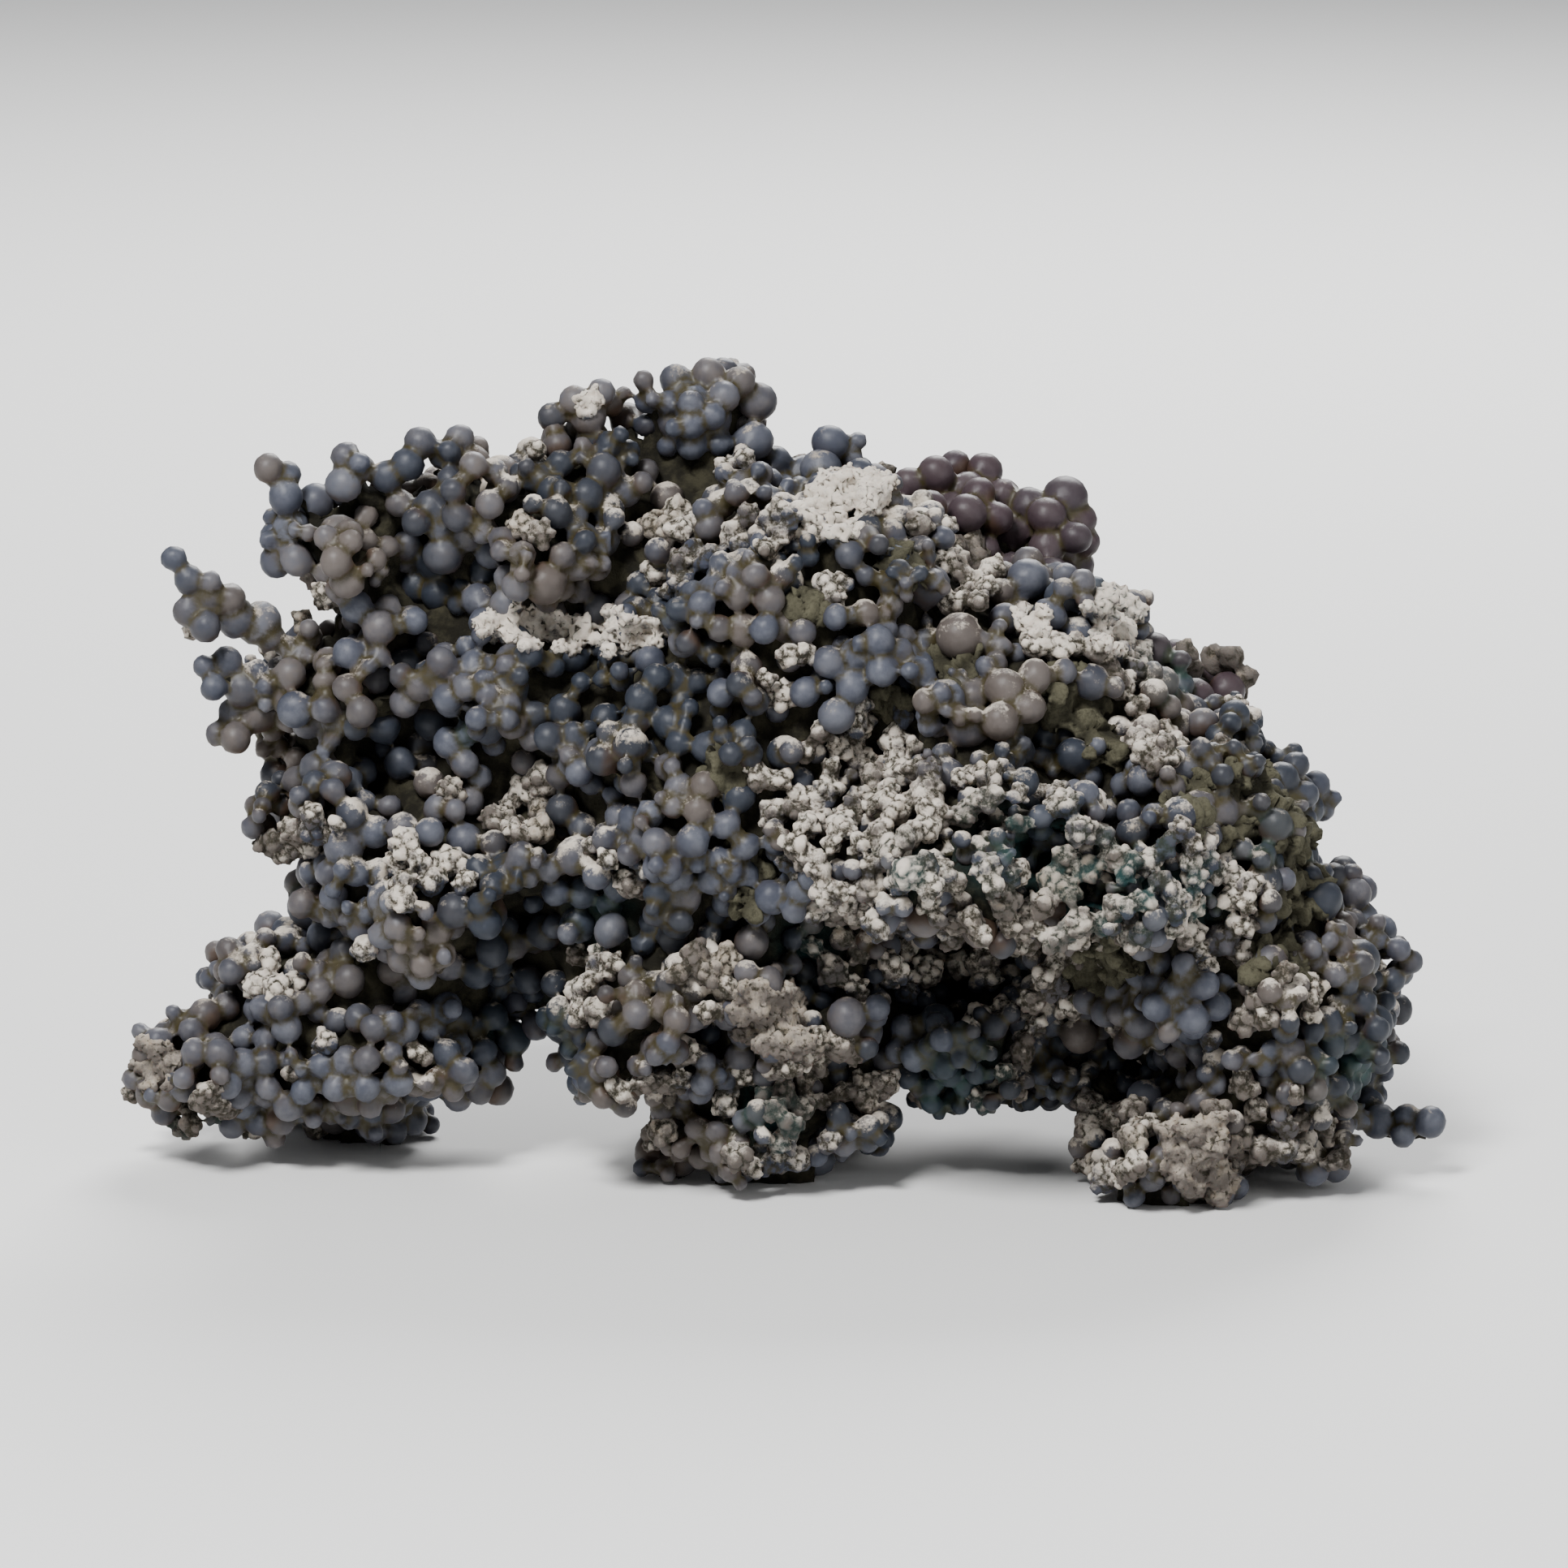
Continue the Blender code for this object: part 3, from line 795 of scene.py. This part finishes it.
def nearestBalls(points, balls):
    # for each point the balls around it, nearest surface first, and how far off each surface is in mm
    tree = KDTree(len(balls))
    for index, ball in enumerate(balls):
        tree.insert(ball["centre"], index)
    tree.balance()
    near = skinSettings["near"]
    found = np.array([[index for _, index, _ in tree.find_n(point, near)] for point in points])
    away = np.linalg.norm(points[:, None, :] - columnOf(balls, "centre")[found], axis=2)
    off = (away - columnOf(balls, "radius")[found]) / mm
    order = np.argsort(off, axis=1)
    return np.take_along_axis(found, order, 1), np.take_along_axis(off, order, 1)


def fusedSkin(name, balls, settings, rng):
    obj = newObject(name, grownMesh(name, balls, grain, settings["uneven"], rng))
    remeshed(obj, settings["voxel"], settings["easing"])
    thinned(obj, settings["mostTriangles"])
    dropCrumbs(obj, skinSettings["leastVertices"])
    mesh = obj.data
    points, normals = pointsOf(mesh), normalsOf(mesh)
    found, off = nearestBalls(points, balls)
    crease = np.clip((off[:, 1] - off[:, 0]) / skinSettings["creaseWidth"], 0, 1)
    share = np.exp((off[:, :1] - off) / skinSettings["blend"])
    share /= share.sum(axis=1, keepdims=True)
    tones = (columnOf(balls, "tone")[found] * share[:, :, None]).sum(axis=1)
    axes, centres, radii = (columnOf(balls, key)[found[:, 0]] for key in ("axis", "centre", "radius"))
    reach = np.clip(((points - centres) * axes).sum(axis=1) / radii / 2 + 0.5, 0, 1)
    facingUp = normals[:, 2] / 2 + 0.5
    push = noiseOver(points, settings["lumpSize"]) * settings["lumpDepth"]
    push -= (1 - crease) ** 2 * settings["groove"]
    setPoints(mesh, points + normals * (push * mm)[:, None])
    writeColours(mesh, "tone", tones)
    writeColours(mesh, "form", np.stack([reach, crease, facingUp, np.ones(len(points))], axis=1))
    mesh.shade_smooth()
    report(name, "has", len(balls), "balls and", len(mesh.polygons), "faces")
    return obj


grapeSkin = {
    "voxel": 0.42, "easing": 1, "uneven": 0.07, "mostTriangles": 176000, "groove": 0.28,
    "lumpSize": 1.6, "lumpDepth": 0.07,
}
backSkin = dict(grapeSkin, voxel=0.5, mostTriangles=150000)
backwards = 0.25  # a ball that leans further back than this is on the back
grain = grainShape()
pieces = {}
frontGrapes = [ball for ball in grapes if ball["axis"].y < backwards]
backGrapes = [ball for ball in grapes if ball["axis"].y >= backwards]
middle = sorted(ball["centre"].x for ball in frontGrapes)[len(frontGrapes) // 2]
leftGrapes = [ball for ball in frontGrapes if ball["centre"].x < middle]
rightGrapes = [ball for ball in frontGrapes if ball["centre"].x >= middle]
for name, some, settings in (
    ("grapes_left", leftGrapes, grapeSkin), ("grapes_right", rightGrapes, grapeSkin),
    ("grapes_back", backGrapes, backSkin),
):
    pieces[name] = fusedSkin(name, some, settings, rng)

# White popcorn: knobs covered with small round grains
popcornSettings = {
    "voxel": 0.29, "easing": 1, "uneven": 0.18, "smallest": 0.4, "largest": 0.85, "overlap": 0.68,
    "cell": 2.2, "tries": 60, "sink": 0.35, "groove": 0.13, "lumpSize": 0.42, "lumpDepth": 0.22,
    "mostTriangles": 186000,
}
leftPopcorn = dict(popcornSettings, mostTriangles=90000)
backPopcorn = dict(popcornSettings, voxel=0.36, mostTriangles=60000)


def grainsOn(knobs, rng):
    s = popcornSettings
    grains = BallField(s["cell"])
    for knob in knobs:
        for _ in range(s["tries"]):
            away = strewn(1, rng).normalized()
            if away.dot(knob["axis"]) < -0.1:
                continue
            radius = rng.uniform(s["smallest"], s["largest"]) * mm
            centre = knob["centre"] + away * max(knob["radius"] - radius * s["sink"], 0.2 * mm)
            if centre.z > radius and grains.hasRoom(centre, radius, s["overlap"]):
                tint, chalk, stain, darkAndShade = knob["tone"]
                chalk = min(1.0, max(0.0, chalk + rng.uniform(-0.2, 0.2)))
                grains.add(centre, radius, away)["tone"] = (tint, chalk, stain, darkAndShade)
    return grains.balls


popcornSplit = -3 * mm
rightKnobs = [k for k in knobs if k["centre"].x > popcornSplit and k["centre"].y < 0]
leftKnobs = [k for k in knobs if k["centre"].x <= popcornSplit and k["axis"].y < backwards]
backKnobs = [k for k in knobs if k not in rightKnobs and k not in leftKnobs]
for name, some, settings in (
    ("popcorn_right", rightKnobs, popcornSettings), ("popcorn_left", leftKnobs, leftPopcorn),
    ("popcorn_back", backKnobs, backPopcorn),
):
    pieces[name] = fusedSkin(name, grainsOn(some, rng) + some, settings, rng)

# Crust plates laid over the balls, and flakes of clay that fill some of the gaps
crustSettings = {
    "step": 0.62, "voxel": 0.3, "easing": 2, "uneven": 0.2, "smallest": 0.5, "largest": 0.95, "depth": -0.1,
    "share": 1.0, "crackSize": 1.0, "crackDepth": 0.3, "crackSharp": 5, "stepHeight": 0.12, "groove": 0.1,
    "lumpSize": 0.5, "lumpDepth": 0.32, "mostTriangles": 48000,
}
flakeSettings = {
    "step": 0.8, "voxel": 0.36, "easing": 6, "uneven": 0.1, "smallest": 0.9, "largest": 1.2, "depth": 2.2,
    "share": 0.85, "crackSize": 1.8, "crackDepth": 0.6, "crackSharp": 10, "stepHeight": 0.8, "groove": 0.0,
    "lumpSize": 0.6, "lumpDepth": 0.06, "mostTriangles": 40000,
}
plateTones = {"white": (0.1, 0.6, 0.0, 0.0), "green": (0.1, 0.5, 0.35, 0.0), "tan": (0.9, 0.28, 0.0, 0.0)}


def frontHit(trees, across, up):
    hits = [tree.ray_cast(seenRay(across, up), viewIn) for tree in trees]
    hits = [(far, hit) for hit, _, _, far in hits if hit is not None]
    return min(hits, key=lambda found: found[0])[1] if hits else None


def laidBalls(patches, trees, settings, toneAt):
    laid = []
    step = settings["step"]
    for patch in patches:
        across, up, reach = patch[:3]
        rows = int(reach / step) + 1
        for i in range(-rows, rows + 1):
            for j in range(-rows, rows + 1):
                a = across + (i + rng.uniform(-0.4, 0.4)) * step
                b = up + (j + rng.uniform(-0.4, 0.4)) * step
                edge = reach * settings["share"] * (1 + 0.45 * noise.noise(Vector((a, b, 0)) / 1.7))
                hit = frontHit(trees, a, b)
                if hit is None or math.hypot(a - across, b - up) > edge:
                    continue
                radius = rng.uniform(settings["smallest"], settings["largest"]) * mm
                centre = hit + viewIn * settings["depth"] * mm
                if centre.z > radius:
                    laid.append({"centre": centre, "radius": radius, "axis": -viewIn, "tone": toneAt(patch)})
    return laid


def crackedPiece(name, balls, settings):
    obj = fusedSkin(name, balls, settings, rng)
    points = pointsOf(obj.data)
    plates, heights = platesOver(points, settings["crackSize"], settings["crackSharp"])
    form = np.empty(len(points) * 4)
    obj.data.attributes["form"].data.foreach_get("color", form)
    form = form.reshape(-1, 4)
    form[:, 0] = heights / 2 + 0.5
    form[:, 1] = plates
    obj.data.attributes["form"].data.foreach_set("color", form.astype(np.float32).ravel())
    push = heights * settings["stepHeight"] - (1 - plates) * settings["crackDepth"]
    setPoints(obj.data, points + normalsOf(obj.data) * (push * mm)[:, None])
    return obj


coated = [coreTree] + [treeOf(piece) for piece in pieces.values()]
crust = laidBalls(platePatches, coated, crustSettings, lambda patch: plateTones[patch[3]])
pieces["crust"] = crackedPiece("crust", crust, crustSettings)
flakes = laidBalls(clayPatches, [guideTree], flakeSettings, lambda patch: (1.0, 0.0, 0.0, 0.0))
pieces["clay_flakes"] = crackedPiece("clay_flakes", flakes, flakeSettings)


def roughenCore():
    s = coreSettings
    points, normals = pointsOf(core.data), normalsOf(core.data)
    across, up = seenAt(points.T)
    front = normals @ np.array(viewIn) < frontSlope
    light = np.where(front, 1.6 * patchStrength(clayPatches, across, up, 1.2), noiseOver(points, 14))
    stain = np.where(front, 1.4 * patchStrength(tealPatches, across, up, 1.2), 0)
    plates, heights = platesOver(points, s["crackSize"], s["crackSharp"])
    push = s["crackDepth"] * (plates - 1 + heights * s["stepShare"])
    push += s["roughDepth"] * noiseOver(points, s["roughSize"])
    push[points[:, 2] < 0.1 * mm] = 0
    setPoints(core.data, points + normals * (push * mm)[:, None])
    zeros = np.zeros(len(points))
    # painted shade: the clay core is darker in the pits
    darkAndShade = patchStrength(pitPatches, across, up, 1.3) * front
    writeColours(core.data, "tone", np.clip(np.stack([light, zeros, stain, darkAndShade], axis=1), 0, 1))
    form = [heights / 2 + 0.5, plates, normals[:, 2] / 2 + 0.5, zeros + 1]
    writeColours(core.data, "form", np.stack(form, axis=1))
    core.data.shade_smooth()


roughenCore()
pieces["clay_core"] = core
dropLoose(pieces, "clay_core")
report("clay core roughened")

# Finishes. tone holds tint, white crust, stain and darkness, which is the colour's own depth with painted
# shade; form holds reach, crease and facing up
grapeColours = {
    "blue": (0.043, 0.048, 0.067, 1), "taupe": (0.078, 0.064, 0.056, 1), "mauve": (0.046, 0.030, 0.036, 1),
    "pale": (0.118, 0.125, 0.150, 1), "paleWarm": (0.120, 0.104, 0.096, 1), "shade": (0.016, 0.021, 0.031, 1),
    "rustAndShade": (0.054, 0.028, 0.013, 1), "olive": (0.040, 0.032, 0.012, 1),
}
chalkColours = {
    "white": (0.64, 0.58, 0.50, 1), "cream": (0.28, 0.235, 0.18, 1), "grey": (0.120, 0.103, 0.090, 1),
    # painted shade: dark brown for the gaps between the white grains
    "crack": (0.030, 0.026, 0.017, 1),
}
# the clay colours are kept very dark: partly the clay's own olive-brown, partly painted shade in the gaps
# between the balls
clayColours = {
    "darkAndShade": (0.010, 0.009, 0.006, 1), "olive": (0.034, 0.031, 0.019, 1), "light": (0.086, 0.081, 0.053, 1),
    # painted shade: near black for the cracks between the clay plates
    "crack": (0.006, 0.005, 0.003, 1),
}
tealColour = (0.008, 0.040, 0.041, 1)

# What is the same all over each finish
grapeFinish = {
    "Specular IOR Level": 0.28, "Subsurface Weight": 0.22, "Subsurface Radius": (0.9, 0.95, 1.0),
    "Subsurface Scale": 0.7 * mm,
}
chalkFinish = {
    "Roughness": 0.88, "Specular IOR Level": 0.2, "Subsurface Weight": 0.06, "Subsurface Scale": 0.4 * mm,
}
clayFinish = {"Roughness": 0.92, "Specular IOR Level": 0.15}


def node(tree, kind, **settings):
    made = tree.nodes.new(kind)
    for key, value in settings.items():
        setattr(made, key, value)
    return made


def feed(tree, socket, value):
    if isinstance(value, bpy.types.NodeSocket):
        tree.links.new(value, socket)
    else:
        socket.default_value = value


def mixed(tree, factor, a, b):
    made = node(tree, "ShaderNodeMix", data_type="RGBA")
    feed(tree, made.inputs[0], factor)
    feed(tree, made.inputs[6], a)
    feed(tree, made.inputs[7], b)
    return made.outputs[2]


def sums(tree, operation, a, b, clamp=False):
    made = node(tree, "ShaderNodeMath", operation=operation, use_clamp=clamp)
    feed(tree, made.inputs[0], a)
    feed(tree, made.inputs[1], b)
    return made.outputs[0]


def times(tree, first, *others):
    for other in others:
        first = sums(tree, "MULTIPLY", first, other)
    return first


def plus(tree, first, *others):
    for other in others:
        first = sums(tree, "ADD", first, other)
    return first


def ranged(tree, value, low, high, toLow=0.0, toHigh=1.0):
    made = node(tree, "ShaderNodeMapRange", interpolation_type="SMOOTHSTEP")
    for socket, amount in zip(made.inputs, (value, low, high, toLow, toHigh)):
        feed(tree, socket, amount)
    return made.outputs[0]


def newGroup(name, takes, gives):
    # inputs and outputs by name, each with its first value: four numbers for a colour, one for a mask
    group = bpy.data.node_groups.new(name, "ShaderNodeTree")
    for way, sockets in (("INPUT", takes), ("OUTPUT", gives)):
        for label, value in sockets.items():
            kind = "NodeSocketColor" if isinstance(value, tuple) else "NodeSocketFloat"
            group.interface.new_socket(name=label, in_out=way, socket_type=kind).default_value = value
    return group, node(group, "NodeGroupInput").outputs, node(group, "NodeGroupOutput").inputs


def placed(tree, group, **feeds):
    made = node(tree, "ShaderNodeGroup", node_tree=group)
    for label, value in feeds.items():
        feed(tree, made.inputs[label], value)
    return made.outputs


plain, black = (1, 1, 1, 1), (0, 0, 0, 1)


def stoneGrainGroup():
    # broad and fine mottling at a given size in mm
    group, takes, gives = newGroup("stoneGrain", {"size": 1.5}, {"broad": 0.0, "fine": 0.0})
    place = node(group, "ShaderNodeTexCoord").outputs["Object"]
    for label, share, roughness in (("broad", 1.0, 0.6), ("fine", 0.18, 0.7)):
        made = node(group, "ShaderNodeTexNoise")
        group.links.new(place, made.inputs["Vector"])
        feed(group, made.inputs["Scale"], sums(group, "DIVIDE", 1 / (share * mm), takes["size"]))
        made.inputs["Detail"].default_value = 4.0
        made.inputs["Roughness"].default_value = roughness
        group.links.new(made.outputs["Fac"], gives[label])
    return group


def creaseShadeAndDirtGroup():
    # painted shade and olive clay in the creases, with a ragged edge
    takes = {"base": plain, "dirt": black, "crease": 1.0, "grain": 0.5, "width": 0.4}
    group, takes, gives = newGroup("creaseShadeAndDirt", takes, {"colour": plain})
    raggedness = times(group, sums(group, "SUBTRACT", takes["grain"], 0.5), 0.8)
    amount = ranged(group, plus(group, takes["crease"], raggedness), takes["width"], 0.0)
    group.links.new(mixed(group, amount, takes["base"], takes["dirt"]), gives["colour"])
    return group


def tealStainGroup():
    # teal stain, strongest in the creases and weaker on the tops
    takes = {"base": plain, "stain": 0.0, "crease": 1.0, "tops": 0.4}
    group, takes, gives = newGroup("tealStain", takes, {"colour": plain})
    spread = ranged(group, takes["crease"], 1.0, 0.1, takes["tops"], 1.0)
    amount = times(group, takes["stain"], spread)
    group.links.new(mixed(group, amount, takes["base"], tealColour), gives["colour"])
    return group


def whiteCoverAndTopLightGroup():
    # white crust that gathers on tops, with painted light that makes up-facing sides whiter: the more chalk,
    # the less is left bare
    takes = {
        "base": plain, "chalk": 0.0, "up": 0.5, "grain": 0.5, "fine": 0.5, "warmth": 0.0,
        "bareBelow": 1.3, "whiteAbove": 1.46,
    }
    group, takes, gives = newGroup("whiteCoverAndTopLight", takes, {"colour": plain, "coverAndTopLight": 0.0})
    level = plus(group, takes["grain"], times(group, takes["fine"], 0.35), takes["chalk"])
    # painted light: faces that look up are whiter
    level = plus(group, level, times(group, takes["up"], 0.6))
    coverAndTopLight = ranged(group, level, takes["bareBelow"], takes["whiteAbove"])
    white = mixed(group, takes["warmth"], chalkColours["white"], chalkColours["cream"])
    group.links.new(mixed(group, coverAndTopLight, takes["base"], white), gives["colour"])
    group.links.new(coverAndTopLight, gives["coverAndTopLight"])
    return group


effects = {
    "grain": stoneGrainGroup(),
    "dirt": creaseShadeAndDirtGroup(),
    "stain": tealStainGroup(),
    "coverAndTopLight": whiteCoverAndTopLightGroup(),
}


def splitAttribute(tree, name):
    made = node(tree, "ShaderNodeAttribute", attribute_name=name)
    split = node(tree, "ShaderNodeSeparateColor")
    tree.links.new(made.outputs["Color"], split.inputs[0])
    return split.outputs[0], split.outputs[1], split.outputs[2], made.outputs["Alpha"]


def materialNamed(name, finish):
    material = bpy.data.materials.new(name)
    material.use_nodes = True
    tree = material.node_tree
    shader = tree.nodes["Principled BSDF"]
    for label, value in finish.items():
        shader.inputs[label].default_value = value
    return material, tree, shader


def surfaced(tree, shader, body, height, distance, strength):
    # the colour, and a bump this many mm deep
    tree.links.new(body, shader.inputs["Base Color"])
    bump = node(tree, "ShaderNodeBump")
    bump.inputs["Distance"].default_value = distance * mm
    bump.inputs["Strength"].default_value = strength
    tree.links.new(height, bump.inputs["Height"])
    tree.links.new(bump.outputs[0], shader.inputs["Normal"])


def grapeBody(tree, tint, darkAndShade, reach, broad):
    # the bare chalcedony: blue-grey to taupe to mauve; red-brown at the necks, darkened there also as painted
    # shade, and paler at the outer ends as painted light
    c = grapeColours
    hue = plus(tree, tint, times(tree, sums(tree, "SUBTRACT", broad, 0.5), 0.5))
    body = mixed(tree, ranged(tree, hue, 0.0, 0.5), c["blue"], c["taupe"])
    body = mixed(tree, ranged(tree, tint, 0.65, 0.95), body, c["mauve"])
    pale = mixed(tree, ranged(tree, hue, 0.15, 0.5), c["pale"], c["paleWarm"])
    # painted light: the outer ends of the balls are paler
    paintedTipLight = times(tree, ranged(tree, reach, 0.6, 1.0), ranged(tree, tint, 0.9, 0.6, 0.25, 1.0))
    paintedTipLight = times(tree, paintedTipLight, ranged(tree, broad, 0.35, 0.65, 0.15, 0.7))
    body = mixed(tree, paintedTipLight, body, pale)
    body = mixed(tree, ranged(tree, darkAndShade, 0.3, 0.0, 0.0, 0.5), body, pale)
    body = mixed(tree, ranged(tree, darkAndShade, 0.35, 1.0, 0.0, 0.85), body, c["shade"])
    # red-brown tint at the necks of the balls, also painted shade there
    rustAndShadeAtRoots = times(tree, ranged(tree, reach, 0.62, 0.3), ranged(tree, hue, 0.1, 0.4, 0.1, 0.7))
    return mixed(tree, rustAndShadeAtRoots, body, c["rustAndShade"])


def grapeMaterial():
    material, tree, shader = materialNamed("grape", grapeFinish)
    tint, chalk, stain, darkAndShade = splitAttribute(tree, "tone")
    reach, crease, up, _ = splitAttribute(tree, "form")
    broad, fine = placed(tree, effects["grain"], size=1.6)
    body = grapeBody(tree, tint, darkAndShade, reach, broad)
    olive = grapeColours["olive"]
    # painted shade with olive clay: the creases between the balls are darkened
    body = placed(tree, effects["dirt"], base=body, dirt=olive, crease=crease, grain=fine, width=0.84)[0]
    body = placed(tree, effects["stain"], base=body, stain=stain, crease=crease, tops=0.3)[0]
    warmth = ranged(tree, broad, 0.45, 0.7, 0.0, 0.7)
    body, coverAndTopLight = placed(
        tree, effects["coverAndTopLight"], base=body, chalk=chalk, up=up, grain=broad, fine=fine, warmth=warmth,
        bareBelow=1.34, whiteAbove=1.56)
    tree.links.new(ranged(tree, coverAndTopLight, 0.0, 1.0, 0.46, 0.9), shader.inputs["Roughness"])
    surfaced(tree, shader, body, plus(tree, coverAndTopLight, times(tree, fine, 0.25)), 0.12, 0.7)
    return material


def chalkMaterial():
    material, tree, shader = materialNamed("chalk", chalkFinish)
    tint, chalk, stain, _ = splitAttribute(tree, "tone")
    _, crease, up, _ = splitAttribute(tree, "form")
    broad, fine = placed(tree, effects["grain"], size=1.3)
    body = mixed(tree, ranged(tree, tint, 0.05, 0.25), grapeColours["blue"], chalkColours["grey"])
    crack = chalkColours["crack"]
    yellowing = ranged(tree, broad, 0.45, 0.7, 0.0, 0.45)
    warmth = sums(tree, "ADD", ranged(tree, tint, 0.35, 0.5, 0.0, 0.6), yellowing, True)
    body, coverAndTopLight = placed(
        tree, effects["coverAndTopLight"], base=body, chalk=chalk, up=up, grain=broad, fine=fine, warmth=warmth,
        bareBelow=1.14, whiteAbove=1.58)
    # painted shade: the creases between the grains are darkened
    body = placed(tree, effects["dirt"], base=body, dirt=crack, crease=crease, grain=fine, width=0.48)[0]
    body = placed(tree, effects["stain"], base=body, stain=stain, crease=crease, tops=0.08)[0]
    surfaced(tree, shader, body, plus(tree, times(tree, coverAndTopLight, 0.4), fine), 0.14, 0.8)
    return material


def clayMaterial():
    material, tree, shader = materialNamed("clay", clayFinish)
    light, _, stain, darkAndShade = splitAttribute(tree, "tone")
    height, plates, _, _ = splitAttribute(tree, "form")
    broad, fine = placed(tree, effects["grain"], size=2.2)
    c = clayColours
    body = mixed(tree, ranged(tree, broad, 0.40, 0.66), c["darkAndShade"], c["olive"])
    lit = times(tree, light, ranged(tree, fine, 0.3, 0.6, 0.45, 1.0))
    lit = times(tree, lit, ranged(tree, height, 0.1, 0.9, 0.15, 1.0))
    body = mixed(tree, lit, body, c["light"])
    # painted shade: the clay is darkened in the pits
    body = mixed(tree, darkAndShade, body, c["darkAndShade"])
    body = placed(tree, effects["stain"], base=body, stain=stain, crease=plates)[0]
    # painted shade: the cracks between the plates are darkened
    body = placed(tree, effects["dirt"], base=body, dirt=c["crack"], crease=plates, grain=fine, width=0.5)[0]
    surfaced(tree, shader, body, plus(tree, fine, broad), 0.22, 0.7)
    return material


report("finishes")
grape, chalk, clay = grapeMaterial(), chalkMaterial(), clayMaterial()
for name, piece in pieces.items():
    kind = name.split("_")[0]
    piece.data.materials.clear()
    piece.data.materials.append({"grapes": grape, "clay": clay}.get(kind, chalk))
    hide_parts("chalcedony_cluster")
    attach(piece, "root")
for helper in (guide, calm):
    bpy.data.objects.remove(helper, do_unlink=True)

# Floor, light and camera
stageSettings = {
    "floorSize": 3.0, "worldColour": (0.88, 0.90, 0.94, 1), "world": 0.28, "distance": 1.0,
    "aimHeight": 0.0387, "photoWidth": 1932, "mmPerPixel": 0.079, "filmWidth": 36, "nearest": 0.01,
}
floorFinish = {"Base Color": (0.80, 0.80, 0.79, 1), "Roughness": 0.9}
lamps = {  # place, size and power of each soft lamp
    "key": ((-0.22, -0.46, 0.66), 0.2, 10.5), "fill": ((0.6, -0.5, 0.3), 0.6, 2.0),
    "back": ((0.1, 0.6, 0.5), 0.4, 8.0),
}


def studio():
    made = bmesh.new()
    bmesh.ops.create_grid(made, x_segments=1, y_segments=1, size=stageSettings["floorSize"] / 2)
    floor = newObject("floor", newMesh("floor", made))
    floor.data.materials.append(materialNamed("floor", floorFinish)[0])
    world = bpy.data.worlds.new("studio")
    world.use_nodes = True
    background = world.node_tree.nodes["Background"]
    background.inputs[0].default_value = stageSettings["worldColour"]
    background.inputs[1].default_value = stageSettings["world"]
    bpy.context.scene.world = world
    for name, (place, size, power) in lamps.items():
        lamp = bpy.data.lights.new(name, "AREA")
        lamp.size = size
        lamp.energy = power
        obj = newObject(name, lamp)
        obj.location = place
        aim = Vector((0, 0, stageSettings["aimHeight"])) - Vector(place)
        obj.rotation_euler = aim.to_track_quat("-Z", "Y").to_euler()


def aimCamera():
    s = stageSettings
    camera = bpy.data.cameras.new("camera")
    camera.sensor_width = s["filmWidth"]
    camera.lens = s["filmWidth"] * s["distance"] / (s["photoWidth"] * s["mmPerPixel"] * mm)
    camera.clip_start = s["nearest"]
    obj = newObject("camera", camera)
    obj.location = Vector((0, 0, s["aimHeight"])) - viewIn * s["distance"]
    obj.rotation_euler = viewIn.to_track_quat("-Z", "Y").to_euler()
    bpy.context.scene.camera = obj


studio()
aimCamera()
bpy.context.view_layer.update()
counts = {name: sum(len(p.vertices) - 2 for p in piece.data.polygons) for name, piece in pieces.items()}
report("triangles", sum(counts.values()), counts)
